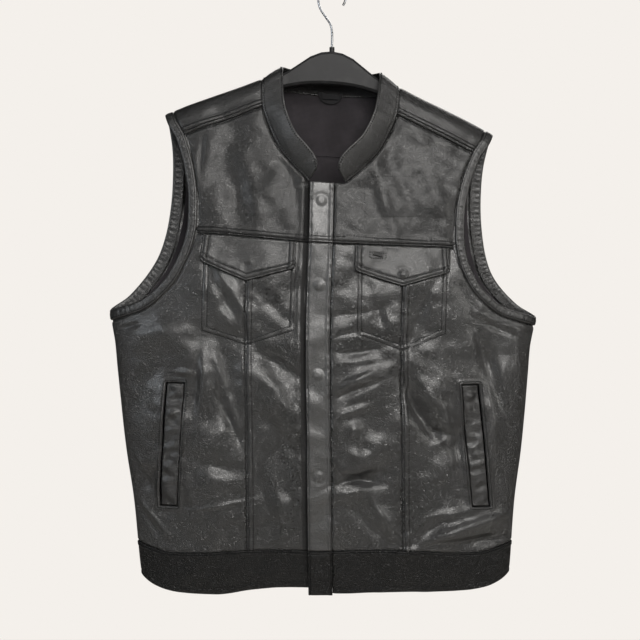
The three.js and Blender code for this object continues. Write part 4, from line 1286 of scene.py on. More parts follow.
@dataclass
class Panel:
    """One cut piece of leather or cloth, laid on the form."""

    node: str
    grid: Array
    material: Material
    seams: tuple[Seam, ...] = ()
    chart: Callable[[Array], Places] = FORM.around
    flip: float = 1.0
    rise: Edge = no_rise
    lift: Array | float = 0.0
    thickness: float = LEATHER
    slot: str = "leather"
    rests_on: tuple[str, ...] = ("hanger_body",)
    ripple: float = 0.45
    outlines: tuple[Array, ...] = ()
    hidden: Relief | None = None
    detail: Relief | None = None
    skip: Array | None = None
    extra_rows: tuple[Array, ...] = ()
    marks: tuple[Array, ...] = ()
    mark_pitch: float = 2.4
    mark_size: float = 1.5
    thread_material: Material | None = None
    inside_out: bool = False
    # Extra sewn rows, and the strip beside the placket where shade is painted.
    rows_and_shade_by: Relief | None = None
    deepest: float | None = None

    def places(self) -> Places:
        """Where the grid lies on the form."""
        place = self.chart(self.grid)
        return Places(place.u * self.flip, place.z, place.side)

    def edge(self, points: Array, rim: Rim) -> Array:
        """The points of one edge of a grid."""
        pick = {TOP: points[0], BOTTOM: points[-1], INNER: points[:, 0], OUTER: points[:, -1]}
        return pick[rim]

    def relief(self, places: Places, away: dict[Rim, Array], drawn: Sequence[Array]) -> Array:
        """How far the ripples, creases, seams and drawn rows stand off the form.

        Args:
            places: where the panel's points lie.
            away: their distance from each of its edges.
            drawn: their signed distance from each drawn row.

        Returns:
            The height of each point.
        """
        calm = np.ones(places.u.shape) if self.hidden is None else 1 - self.hidden(places)
        down = places.z + 300 * places.side
        waves = ((105, 1.9, 10), (52, 1.7, 11), (21, 0.5, 12))
        ripples = [Ripple(size, deep * self.ripple, seed) for size, deep, seed in waves]
        small = sum(ripple.height(places.u, down) for ripple in ripples)
        bound = [away[seam.rim] for seam in self.seams if seam.kind is BUTT]
        loose = smoothstep(np.minimum.reduce(bound), 1.0, 14.0) if bound else 1.0
        height = FORM.fade(places) * calm * small
        height += CREASE_RELIEF * calm * loose * FORM.folds(places, CREASES)
        seed = float(len(self.node)) + self.flip
        for seam in self.seams:
            along = places.z if seam.rim in (INNER, OUTER) else places.u
            height += seam.height(away[seam.rim], along, seed + 2.3 * seam.rows[0] if seam.rows else seed)
        for line in drawn:
            height -= 0.45 * calm * bell(line, 0.9)
        between_rows = np.clip(-drawn[0] / np.maximum(drawn[1] - drawn[0], 0.1), 0, 1)
        padded = 1.1 * (1 - smoothstep(drawn[1], -16.0, 0.0)) if self.outlines else 0.0
        height += calm * (0.5 * np.sin(math.pi * between_rows) + padded)
        if self.deepest is not None:
            height = self.deepest + np.logaddexp(0, 2 * (height - self.deepest)) / 2
        return height if self.detail is None else height + self.detail(places)

    def row_and_shade_away(self, places: Places, away: dict[Rim, Array]) -> Array:
        """How far each point is from the nearest sewn row, or from the strip beside the placket where shade
        is painted.
        """
        rows = [np.abs(away[seam.rim] - row) for seam in self.seams for row in seam.rows]
        if self.rows_and_shade_by is not None:
            rows.append(self.rows_and_shade_by(places))
        return np.minimum.reduce([np.full(places.u.shape, FAR), *rows])

    def build(self, thread: Thread) -> Piece:
        """Builds the panel with its folds, seams and sewn rows.

        Args:
            thread: what sews the rows.

        Returns:
            The panel's mesh.
        """
        places = self.places()
        bare, normal = FORM.folded(places)
        away = {rim: distance_to(bare, self.edge(bare, rim)) for rim in Rim}
        flat = np.stack([places.u, places.z], axis=-1)
        drawn = [signed_distance(flat, outline) for outline in self.outlines]
        drawn += [np.full(places.u.shape, FAR)] * (2 - len(drawn))
        rise = self.rise(places.u) + self.lift
        hung = FORM.hung(bare + normal * (self.relief(places, away, drawn) + rise)[..., None])
        rows, columns = places.u.shape
        faces = grid_faces(rows, columns, skip=self.skip)
        outward = (self.flip > 0) != self.inside_out
        faces = faces if outward else faces[:, ::-1]
        piece = made_mesh(f"{self.node}_cut", hung, faces)
        store(piece, np.minimum.reduce(list(away.values())), self.row_and_shade_away(places, away), *drawn)
        map_cloth(piece, flat)
        tree = face_tree(hung, faces)
        self.size = self.cut(bare)
        thickened(piece, self.thickness)
        fitted(piece, self.material, self.slot, self.node)
        rows_made = self.sewn(bare, normal, tree)
        if rows_made:
            drawn_rows = joined(rows_made)
            thread.sew(f"{self.node}_thread", *drawn_rows, material=self.thread_material)
        if self.marks:
            dots = joined([self.settled(mark, tree, self.mark_pitch) for mark in self.marks])
            hole = thread.finishes.hole
            thread.sew(f"{self.node}_holes", *dots, size=self.mark_size, material=hole)
        width, length, area = self.size
        list(self.rests_on)
        LOG.info("%s: cut %.0f by %.0f mm", self.node, width / MM, length / MM)
        return piece

    def cut(self, points: Array) -> tuple[float, float, float]:
        """The flat cut's width, length and area in metres.

        Args:
            points: the bare face's points.

        Returns:
            The three sizes.
        """
        width = np.linalg.norm(np.diff(points, axis=1), axis=2).sum(axis=1).max()
        length = np.linalg.norm(np.diff(points, axis=0), axis=2).sum(axis=0).max()
        a, b = points[1:, 1:] - points[:-1, :-1], points[1:, :-1] - points[:-1, 1:]
        cells = np.linalg.norm(np.cross(a, b), axis=2) / 2
        area = cells.sum() if self.skip is None else cells[~self.skip].sum()
        length = max(length, 10.2)
        return width * MM, length * MM, min(area * MM * MM, width * length * MM * MM)

    def sewn(self, bare: Array, normal: Array, tree: BVHTree) -> list[tuple[Array, ...]]:
        """The places of every stitch.

        Args:
            bare: the panel's grid before its seams shape it.
            normal: the normals of that grid.
            tree: the panel's face, for setting each stitch on it.

        Returns:
            For each row of stitches, their places, directions and normals.
        """
        middle = bare[bare.shape[0] // 2, bare.shape[1] // 2]
        free = [self.edge(bare, seam.rim) for seam in self.seams if seam.kind is FREE]
        made = []
        for seam in self.seams:
            line = walked(self.edge(bare, seam.rim), 1.0)
            ups = self.edge(normal, seam.rim)
            pick = np.linspace(0, len(ups) - 1, len(line)).round().astype(int)
            step = np.gradient(line, axis=0)
            into = unit(np.cross(ups[pick], step))
            if np.sum(into * (middle - line)) < 0:
                into = -into
            for row in seam.rows:
                path = line + into * row
                keep = distance_to(path, line) > row - 0.12
                for other in free:
                    keep &= distance_to(path, other) > row - 0.12
                path = path[keep]
                if len(path) > 4:
                    made.append(self.settled(path, tree))
        for extra in self.extra_rows:
            made.append(self.settled(extra, tree))
        return [row for row in made if len(row[0])]

    def settled(self, path: Array, tree: BVHTree, pitch: float = 2.9) -> tuple[Array, ...]:
        """Stitches along a path, each set on the panel's face.

        Args:
            path: points near the face, before the vest is hung.
            tree: the panel's face.
            pitch: the distance from stitch to stitch.

        Returns:
            The places, directions and normals of the stitches.
        """
        line = walked(FORM.hung(path), pitch)
        return set_on(tree, line, np.gradient(line, axis=0))


def between(top: Edge, bottom: Edge, inner: Edge, outer: Edge, s: Array, r: Array) -> Array:
    """The grid inside four edges.

    Args:
        top: the upper edge, from inner to outer.
        bottom: the lower edge.
        inner: the edge at the start of the rows, from top to bottom.
        outer: the edge at their end.
        s: positions across.
        r: positions down.

    Returns:
        Pairs of chart numbers, rows first.
    """
    sc, rc = s[None, :, None], r[:, None, None]
    rows = (1 - rc) * top(s)[None] + rc * bottom(s)[None]
    columns = (1 - sc) * inner(r)[:, None] + sc * outer(r)[:, None]
    ends = np.array([0.0, 1.0])
    t, b = top(ends), bottom(ends)
    corners = (1 - sc) * ((1 - rc) * t[0] + rc * b[0]) + sc * ((1 - rc) * t[1] + rc * b[1])
    return rows + columns - corners


def level(height: Edge, a: float, b: float, face: Face = F) -> Edge:
    """A line across the vest whose height is a function of its distance from the centre."""

    def line(t: Array) -> Array:
        """The point at each share of the line."""
        u = a + (b - a) * t
        return FORM.turns(u, height(np.abs(u)), face)

    return line


def plumb(u: float, top: float, bottom: float, face: Face = F) -> Edge:
    """A line down the vest at one distance from the centre."""

    def line(t: Array) -> Array:
        """The point at each share of the line."""
        z = top + (bottom - top) * t
        return FORM.turns(np.full(z.shape, u), z, face)

    return line


@dataclass(frozen=True)
class Half:
    """The wearer's left or right half of the front."""

    name: str
    flip: float
    rise: Edge
    centre_u: float

    def holds(self, places: Places) -> Array:
        """Which places are on this half of the front."""
        return (places.side == F.value) & (np.sign(places.u) == self.flip)


LEFT = Half("left", 1.0, closure_rise, PLACKET_SEAM_U + SEAM_GAP)
RIGHT = Half("right", -1.0, no_rise, -UNDERLAP_U)


@dataclass
class Shoulders:
    """The two yokes, which come over the shoulder line to a seam in front of it."""

    finishes: Finishes
    pitch: float = 2.2

    def build(self, thread: Thread) -> None:
        """Builds both yokes.

        Args:
            thread: what sews the rows.
        """
        gap = SEAM_GAP / 2
        over = np.interp(ruler(75, self.pitch), (0, 1), (YOKE_FRONT_OVER - gap, YOKE_BACK_OVER + gap))
        across = ruler(112, self.pitch)
        ends = YOKE(over)
        u = ends[:, :1] + (ends[:, 1:] - gap - ends[:, :1]) * across[None]
        grid = np.stack([u, np.broadcast_to(over[:, None], u.shape)], axis=-1)
        seams = four_seams((OVER, (2.5, 7.6), 8.5), (OVER, (2.5, 7.6), 8.5), (BUTT,), (BUTT,))
        for half in (LEFT, RIGHT):
            Panel(
                f"yoke_{half.name}", grid, self.finishes.smooth, seams, chart=FORM.over_shoulder,
                flip=half.flip, ripple=0.4,
            ).build(thread)


@dataclass
class Pocket:
    """The chest pocket: its flap, and the double rows of its bag on the front."""

    inner_u: float = 38.0
    outer_u: float = 157.0
    flare_u: float = 3.0
    side_drop: float = 34.0
    point_u: float = 100.0
    point_drop: float = 52.0
    snap_drop: float = 35.0

    def bag_lines(self, half: Half) -> tuple[Array, ...]:
        """The two sewn outlines of the pocket bag, as distances and heights.

        Args:
            half: which half of the front.

        Returns:
            The two outlines.
        """
        outer = {
            "right": ((-155, -372), (-155, -457.3), (-98.8, -474.7), (-37.3, -455.7), (-37.3, -372)),
            "left": ((156.8, -372), (156.8, -458.5), (101.8, -480.2), (44.4, -459.9), (42.8, -372)),
        }
        inner = {
            "right": ((-148.5, -372), (-148.5, -453.2), (-96.1, -469.5), (-42.5, -450.4), (-42.5, -372)),
            "left": ((151.5, -372), (151.5, -453.3), (100.4, -473.6), (49.5, -455.9), (48.0, -372)),
        }
        return tuple(np.array(table[half.name], float) for table in (outer, inner))

    def covers(self, half: Half) -> Relief:
        """How much the flap hides a place, which then lies calm under it.

        Args:
            half: which half of the front.

        Returns:
            The share hidden at each place.
        """

        def hidden(places: Places) -> Array:
            """How much of each place the flap hides."""
            u = np.abs(places.u)
            foot = np.interp(
                u,
                (self.inner_u, self.point_u, self.outer_u + self.flare_u),
                (-self.side_drop, -self.point_drop, -self.side_drop + CHEST_SEAM_RISE),
            )
            below = places.z - (CHEST_SEAM_Z + foot)
            within = smoothstep(u, self.inner_u - 3, self.inner_u + 1)
            within *= 1 - smoothstep(u, self.outer_u, self.outer_u + 4)
            front = half.holds(places)
            return np.where(front, within * smoothstep(below, -1, 4), 0.0)

        return hidden

    def flap(self, half: Half, finishes: Finishes, thread: Thread) -> Piece:
        """Builds the pointed flap with its snap's bump.

        Args:
            half: which half of the front.
            finishes: the materials.
            thread: what sews the rows.

        Returns:
            The flap's mesh.
        """
        s = ruler(122, 1.5)
        r = ruler(46, 1.5)
        outer_u = self.outer_u + self.flare_u
        head_u = self.inner_u + (self.outer_u - self.inner_u) * s
        head = np.stack([head_u, chest_seam(head_u) - 0.5], axis=-1)
        knots = (0, 0.5, 1)
        foot_u = np.interp(s, knots, (self.inner_u, self.point_u, outer_u))
        drops = (self.side_drop, self.point_drop, self.side_drop - CHEST_SEAM_RISE)
        foot = np.stack([foot_u, CHEST_SEAM_Z - np.interp(s, knots, drops)], axis=-1)
        pairs = head[None] + (foot - head)[None] * r[:, None, None]
        pairs = self.rounded(pairs, s, r)
        grid = FORM.turns(pairs[..., 0], pairs[..., 1])
        away = r * 46
        tuck = -1.6 * np.clip(1 - away / 2.5, 0, 1) ** 2
        lift = (SEAM_GAP + FLAP_RISE * r**2 + FLAP_THICKNESS + 0.3 + tuck)[:, None]
        seams = tuple(Seam(rim, FREE, TWO_ROWS) for rim in (BOTTOM, INNER, OUTER))
        snap_z = CHEST_SEAM_Z - self.snap_drop

        def bump(places: Places) -> Array:
            """The left flap's bump and pen slot, or the right flap's dent."""
            away = np.hypot(np.abs(places.u) - self.point_u, places.z - snap_z)
            dome = 1.9 * (1 - smoothstep(away, 2.5, 7.4)) - 0.3 * bell(away - 8.2, 1.4)
            return dome + self.slot_form(places) if half.flip > 0 else -0.5 * dome

        return Panel(
            f"flap_{half.name}", grid, finishes.trim, seams, flip=half.flip, rise=half.rise,
            lift=np.broadcast_to(lift, (len(r), len(s))), thickness=FLAP_THICKNESS, ripple=0.3,
            rests_on=(f"chest_{half.name}",), detail=bump, extra_rows=self.slot_rows(half)[:1],
            marks=self.slot_rows(half)[1:], mark_pitch=0.9, mark_size=2.2,
        ).build(thread)

    def slot_rows(self, half: Half) -> tuple[Array, ...]:
        """The pen slot's sewn frame and its slit, on the wearer's left only."""
        if half.flip < 0:
            return ()
        corners = [(57.3, -352.9), (77.7, -352.9), (77.7, -360.3), (57.3, -360.3), (57.3, -352.9)]
        return tuple(self.raised(line, 7.0) for line in (corners, [(61.5, -356.6), (73.5, -356.6)]))

    def raised(self, corners: Sequence[tuple[float, float]], lift: float) -> Array:
        """Points along a line drawn on the front, lifted off the form."""
        line = walked(np.array(corners, float), 1.0)
        point, normal = FORM.folded(front_places(line))
        return point + normal * lift

    def slot_form(self, places: Places) -> Array:
        """The pen slot in the left flap: a slit inside a small sewn frame."""
        across = np.abs(places.u - 67.5)
        up = np.abs(places.z + 356.6)
        slit = (1 - smoothstep(across, 6.5, 7.8)) * bell(up, 0.8)
        frame = np.maximum(across - 10.2, up - 3.9)
        return -0.7 * slit - 0.25 * bell(frame, 0.8)

    def rounded(self, pairs: Array, s: Array, r: Array) -> Array:
        """Rounds the flap's two lower outer corners by drawing them in.

        Args:
            pairs: the flap's places.
            s: how far across each is.
            r: how far down.

        Returns:
            The places, drawn in.
        """
        made = pairs.copy()
        for column, sign in ((0.0, 1.0), (1.0, -1.0)):
            near = np.clip(1 - np.abs(s - column) * 122 / 5, 0, 1)[None]
            near = near * np.clip(1 - (1 - r) * 40 / 5, 0, 1)[:, None]
            made[..., 0] += sign * 1.6 * near**2
            made[..., 1] += 1.3 * near**2
        return made


@dataclass
class HandPocket:
    """The slanting hand pocket: its window in the side panel and the welt that fills it."""

    top_u: float = 190.0
    bottom_u: float = 202.5
    top_z: float = -524.0
    bottom_z: float = -683.0
    width: float = 24.0
    inset: float = 0.6
    frame_row: float = 3.4

    def middle(self, z: Array) -> Array:
        """The window's middle at a height."""
        share = (self.top_z - z) / (self.top_z - self.bottom_z)
        return self.top_u + (self.bottom_u - self.top_u) * share

    def away(self, places: Places) -> Array:
        """The distance outside the window, below zero inside it."""
        across = np.abs(np.abs(places.u) - self.middle(places.z)) - self.width / 2
        up = np.maximum(places.z - self.top_z, self.bottom_z - places.z)
        outside = np.hypot(np.maximum(across, 0), np.maximum(up, 0))
        return outside + np.minimum(np.maximum(across, up), 0)

    def frame(self, half: Half) -> Array:
        """The sewn row round the window, with its corners cut off.

        Args:
            half: which half of the front.

        Returns:
            The row's points.
        """
        reach = self.width / 2 + self.frame_row
        top, bottom = self.top_z + self.frame_row, self.bottom_z - self.frame_row
        corners = [(self.middle(top) + side * reach, top) for side in (-1, 1)]
        corners += [(self.middle(bottom) - side * reach, bottom) for side in (-1, 1)]
        cut = []
        for i, (u, z) in enumerate(corners):
            for j in (i - 1, (i + 1) % 4):
                du, dz = corners[j][0] - u, corners[j][1] - z
                share = 2.2 / math.hypot(du, dz)
                cut.append((u + du * share, z + dz * share))
        line = walked(np.array([*cut, cut[0]], float) * (half.flip, 1.0), 1.5)
        return FORM.folded(front_places(line))[0]

    def welt(self, half: Half, finishes: Finishes, thread: Thread) -> Piece:
        """Builds the strip inside the window, a little wrinkled.

        Args:
            half: which half of the front.
            finishes: the materials.
            thread: what sews the rows.

        Returns:
            The welt's mesh.
        """
        s = ruler(self.width, 1.4)
        r = ruler(self.top_z - self.bottom_z, 1.6)
        z = self.top_z - self.inset - (self.top_z - self.bottom_z - 2 * self.inset) * r
        u = self.middle(z)[:, None] + (self.width - 2 * self.inset) * (s[None] - 0.5)
        grid = FORM.turns(u, np.broadcast_to(z[:, None], u.shape))

        def wrinkles(places: Places) -> Array:
            """The welt's own small wrinkles."""
            across = (np.abs(places.u) - self.middle(places.z)) / (self.width / 2)
            crown = 0.9 * (1 - across**2)
            ribs = Ripple(13, 0.85, 31 + int(half.flip)).height(places.u * 0.5, places.z)
            return crown + ribs * (1 - across**2)

        seams = tuple(Seam(rim, FREE) for rim in Rim)
        return Panel(
            f"welt_{half.name}", grid, finishes.trim, seams, flip=half.flip, lift=-1.6, ripple=0.2,
            rests_on=(f"side_{half.name}",), detail=wrinkles,
        ).build(thread)


@dataclass
class Fronts:
    """The two fronts above the hem band: chest, centre and side panels with their pockets."""

    finishes: Finishes
    pocket: Pocket = field(default_factory=Pocket)
    hand_pocket: HandPocket = field(default_factory=HandPocket)
    pitch: float = 1.8

    def build(self, thread: Thread) -> None:
        """Builds both fronts.

        Args:
            thread: what sews the rows.
        """
        for half in (LEFT, RIGHT):
            self.chest(half, thread)
            self.centre(half, thread)
            self.side(half, thread)
            self.pocket.flap(half, self.finishes, thread)
            self.hand_pocket.welt(half, self.finishes, thread)

    def chest(self, half: Half, thread: Thread) -> None:
        """The panel between the yoke and the chest seam.

        Args:
            half: which half of the front.
            thread: what sews the rows.
        """
        # The right front dips under the placket, with painted shade in the strip beside it.
        tucked = {"detail": closure_dip, "rows_and_shade_by": closure_shade} if half is RIGHT else {}
        gap = SEAM_GAP / 2
        inner_u = half.centre_u
        neckline = through([FORM.turns(u, z) for u, z in NECK_FRONT])
        corner = FORM.turns(inner_u, NECK_FRONT_Z)
        foot = float(chest_seam(np.array(0.0))) + gap
        inner = chain(
            (neckline, 0.575),
            (straight(neckline(np.array(1.0)), corner), 0.05),
            (plumb(inner_u, NECK_FRONT_Z, foot), 0.375),
        )
        armhole = part_of(ARMHOLE_SEAM, 0, CHEST_KNOT)
        lowest = float(chest_seam(np.array(CHEST_END_U))) + gap

        def outer(t: Array) -> Array:
            """The edge along the armhole."""
            pairs = armhole(t)
            pairs[..., 1] = np.maximum(pairs[..., 1], lowest)
            return pairs

        def shoulder(t: Array) -> Array:
            """The edge under the yoke."""
            u = NECK_FRONT[0][0] + (ARMHOLE[0][0] - NECK_FRONT[0][0]) * t
            return FORM.turns(u, FORM.ridge(u) - YOKE_FRONT_DROP - gap)

        bottom = level(lambda u: chest_seam(u) + gap, inner_u, CHEST_END_U)
        grid = between(shoulder, bottom, inner, outer, ruler(115, self.pitch), ruler(150, self.pitch))
        seams = four_seams((UNDER, ONE_ROW), (OVER, TWO_ROWS, 9.8), (BUTT,), (BUTT,))
        Panel(
            f"chest_{half.name}", grid, self.finishes.smooth, seams, flip=half.flip, rise=half.rise,
            rests_on=(f"yoke_{half.name}",), hidden=under_placket if half is RIGHT else None, **tucked,
            marks=self.old_marks(half),
        ).build(thread)

    def old_marks(self, half: Half) -> tuple[Array, ...]:
        """Needle holes left where plain patches were once sewn on and taken off.

        Args:
            half: which half of the front.

        Returns:
            The rows of holes.
        """
        lines = {
            "left": (
                [(49, -301), (48.5, -262), (53, -256), (88, -252), (122, -251), (128, -256)],
                [(49, -301), (54, -306), (95, -304), (124, -301)],
            ),
            "right": (
                [(-49, -222), (-46, -236), (-50, -250), (-47, -266), (-54, -280), (-57, -296)],
                [
                    (-57, -296), (-62, -272), (-68, -284), (-76, -292),
                    (-86, -286), (-104, -278), (-108, -262),
                ],
            ),
        }
        lift = float(half.rise(np.array(60.0)))
        return tuple(self.pocket.raised(line, lift) for line in lines[half.name])

    def centre(self, half: Half, thread: Thread) -> None:
        """The panel between the closure and the princess seam.

        Args:
            half: which half of the front.
            thread: what sews the rows.
        """
        # The right front dips under the placket, with painted shade in the strip beside it.
        tucked = {"detail": closure_dip, "rows_and_shade_by": closure_shade} if half is RIGHT else {}
        gap = SEAM_GAP / 2
        outer_u = PRINCESS_U - gap
        top = level(lambda u: chest_seam(u) - gap, half.centre_u, outer_u)
        bottom = level(lambda u: waist_seam(u) + gap, half.centre_u, outer_u)
        inner = plumb(half.centre_u, height_at(top, 0.0), height_at(bottom, 0.0))
        outer = plumb(outer_u, height_at(top, 1.0), height_at(bottom, 1.0))
        grid = between(top, bottom, inner, outer, ruler(100, self.pitch), ruler(394, self.pitch))
        raised = OVER if half is RIGHT else UNDER
        rows = TWO_ROWS if half is RIGHT else ()
        seams = four_seams((UNDER,), (UNDER,), (BUTT,), (raised, rows))
        covered = self.pocket.covers(half)

        def hidden(places: Places) -> Array:
            """How much the flap or the placket hides each place."""
            lap = under_placket(places) if half is RIGHT else 0.0
            return np.maximum(covered(places), lap)

        Panel(
            f"centre_{half.name}", grid, self.finishes.leather, seams, flip=half.flip, rise=half.rise,
            rests_on=(f"chest_{half.name}",), outlines=self.pocket.bag_lines(half), hidden=hidden, **tucked,
            extra_rows=self.bag_rows(half, 0, PRINCESS_U),
        ).build(thread)

    def bag_rows(self, half: Half, inner_u: float, outer_u: float) -> tuple[Array, ...]:
        """The stretches of the pocket bag's rows that lie on one panel.

        Args:
            half: which half of the front.
            inner_u: where the panel begins.
            outer_u: where it ends.

        Returns:
            The stretches.
        """
        made = []
        for outline in self.pocket.bag_lines(half):
            line = walked(outline, 1.0)
            keep = (np.abs(line[:, 0]) > inner_u + 1.5) & (np.abs(line[:, 0]) < outer_u - 1.5)
            point, normal = FORM.folded(front_places(line[keep]))
            made.append(point + normal * half.rise(line[keep, 0])[:, None])
        return tuple(made)

    def side(self, half: Half, thread: Thread) -> None:
        """The panel between the princess seam and the side seam, with the hand pocket's window.

        Args:
            half: which half of the front.
            thread: what sews the rows.
        """
        gap = SEAM_GAP / 2
        window = self.hand_pocket
        inner_u = PRINCESS_U + gap
        span_z = (CHEST_SEAM_Z + 3, WAIST_SEAM_Z)
        marks = [(span_z[0] - z) / (span_z[0] - span_z[1]) for z in (window.top_z, window.bottom_z)]
        z_row = np.interp(ruler(span_z[0] - span_z[1], self.pitch, marks), (0, 1), span_z)
        share = (0.47, 0.61)
        s = ruler(165, self.pitch, share)
        t = np.linspace(CHEST_KNOT, ARMPIT_KNOT, 400)
        arm = ARMHOLE_SEAM(t)
        arm_z = np.minimum.accumulate(arm[:, 1])
        arm_turn = np.minimum(np.maximum.accumulate(arm[:, 0]), SIDE_TURN - SIDE_GAP_TURN)
        outer = np.interp(-z_row, -arm_z, arm_turn)
        inner = FORM.turns(np.full(z_row.shape, inner_u), z_row)[:, 0]
        reach = window.width / 2
        guides = [FORM.turns(window.middle(z_row) + sign * reach, z_row)[:, 0] for sign in (-1, 1)]
        near = smoothstep(z_row, ARMPIT_Z, window.top_z + 12) * smoothstep(z_row, -735, window.bottom_z - 8)
        knots = [
            near * (guide - inner) / (outer - inner) + (1 - near) * even
            for guide, even in zip(guides, share)
        ]
        fraction = np.array(
            [np.interp(s, (0, *share, 1), (0, a, b, 1)) for a, b in zip(knots[0], knots[1])]
        )
        turn = inner[:, None] + (outer - inner)[:, None] * fraction
        u = FORM.half_width(z_row)[:, None] * np.sin(turn)
        top = chest_seam(u) - gap
        top_shift = (top - span_z[0]) * (1 - smoothstep(span_z[0] - z_row, 0, 60))[:, None]
        bottom_shift = waist_seam(u) + gap - span_z[1]
        bottom_shift = bottom_shift * (1 - smoothstep(z_row - span_z[1], 0, 50))[:, None]
        z = z_row[:, None] + top_shift + bottom_shift
        grid = np.stack([turn, z], axis=-1)
        hole_s = (s > share[0] - 1e-5) & (s < share[1] + 1e-5)
        marks_z = (z_row < window.top_z + 0.01) & (z_row > window.bottom_z - 0.01)
        inside = marks_z[:, None] & hole_s[None]
        skip = inside[1:, 1:] & inside[:-1, 1:] & inside[1:, :-1] & inside[:-1, :-1]

        def lip(places: Places) -> Array:
            """The rise and fall of the leather round the window."""
            away = window.away(places)
            front = half.holds(places)
            roll = -2.6 * np.clip(1 - away / 2.2, 0, 1) ** 2
            lift = 1.3 * (1 - smoothstep(away, 3.0, 8.0))
            row = -0.7 * bell(away - window.frame_row, 0.9)
            return np.where(front, roll + lift + row, 0.0)

        raised = OVER if half is LEFT else UNDER
        rows = TWO_ROWS if half is LEFT else ()
        seams = four_seams((UNDER,), (UNDER,), (raised, rows), (BUTT,))
        Panel(
            f"side_{half.name}", grid, self.finishes.leather, seams, flip=half.flip, rise=half.rise,
            rests_on=(f"chest_{half.name}",), outlines=self.pocket.bag_lines(half),
            hidden=self.pocket.covers(half), detail=lip,
            rows_and_shade_by=lambda places: np.abs(window.away(places) - window.frame_row), skip=skip,
            extra_rows=(*self.bag_rows(half, PRINCESS_U, 300), window.frame(half)),
        ).build(thread)


def under_placket(places: Places) -> Array:
    """How much the placket hides a place of the right front."""
    front = places.side == F.value
    return np.where(front, smoothstep(places.u, -27, -22), 0.0)


def closure_dip(places: Places) -> Array:
    """How the right front rolls under beside the placket's free edge."""
    roll = smoothstep(places.u, -28.8, -24.5) * (1 - 0.3 * smoothstep(-places.z, 400, 700))
    brow = 0.7 * bell(places.u + 31.5, 2.6)
    return np.where(places.side == F.value, brow - 5.0 * roll, 0.0)


def closure_shade(places: Places) -> Array:
    """The distance from the strip beside the placket where shade is painted, in the leather's deep tone,
    standing in for the shadow under the placket's edge.
    """
    away = np.maximum(-28.0 - places.u, 0.0)
    return np.where(places.side == F.value, away, FAR)


@dataclass
class Closure:
    """The placket that covers the snaps of the front."""

    finishes: Finishes
    snap_u: float = -6.5
    snap_z: tuple[float, ...] = (-290, -398, -512, -642, -768)

    def bumps(self, places: Places) -> Array:
        """The covered caps of the snaps, and the placket's gentle waves."""
        made = 0.35 * Ripple(34, 1.0, 41).height(places.u * 0.6, places.z)
        for z in self.snap_z:
            away = np.hypot(places.u - self.snap_u, places.z - z)
            made += 1.3 * (1 - smoothstep(away, 2.5, 8.2)) - 0.2 * bell(away - 8.8, 1.6)
        return made

    def build(self, thread: Thread) -> None:
        """Builds the placket's three stretches.

        Args:
            thread: what sews the rows.
        """
        gap = SEAM_GAP / 2
        leather, band = self.finishes.placket, self.finishes.band
        stretches = (
            ("placket_chest", NECK_FRONT_Z, CHEST_SEAM_Z + gap, FREE, OVER, leather, 0.0),
            ("placket_body", CHEST_SEAM_Z - gap, WAIST_SEAM_Z + gap, UNDER, UNDER, leather, 0.0),
            ("placket_band", WAIST_SEAM_Z - gap, PLACKET_FOOT_Z, OVER, FREE, band, 0.7 * HEM_LEAN),
        )
        for node, top, bottom, head, foot, material, lean in stretches:
            s = ruler(31, 1.4)
            r = ruler(top - bottom, 1.8)
            z = np.broadcast_to((top + (bottom - top) * r)[:, None], (len(r), len(s)))
            u = np.broadcast_to((PLACKET_EDGE_U + (PLACKET_SEAM_U - PLACKET_EDGE_U) * s)[None], z.shape)
            head_rows = ONE_ROW if head is OVER else ()
            foot_rows = TWO_ROWS if foot is OVER else ()
            seams = (
                Seam(INNER, FREE, ONE_ROW),
                Seam(OUTER, OVER, (1.9,), 4),
                Seam(TOP, head, head_rows),
                Seam(BOTTOM, foot, foot_rows),
            )
            Panel(
                node, FORM.turns(u, z), material, seams, lift=CLOSURE_RISE - lean * r[:, None] ** 1.4,
                thickness=PLACKET_THICKNESS, ripple=0.3, rests_on=("chest_left", "centre_left"),
                detail=self.bumps,
            ).build(thread)


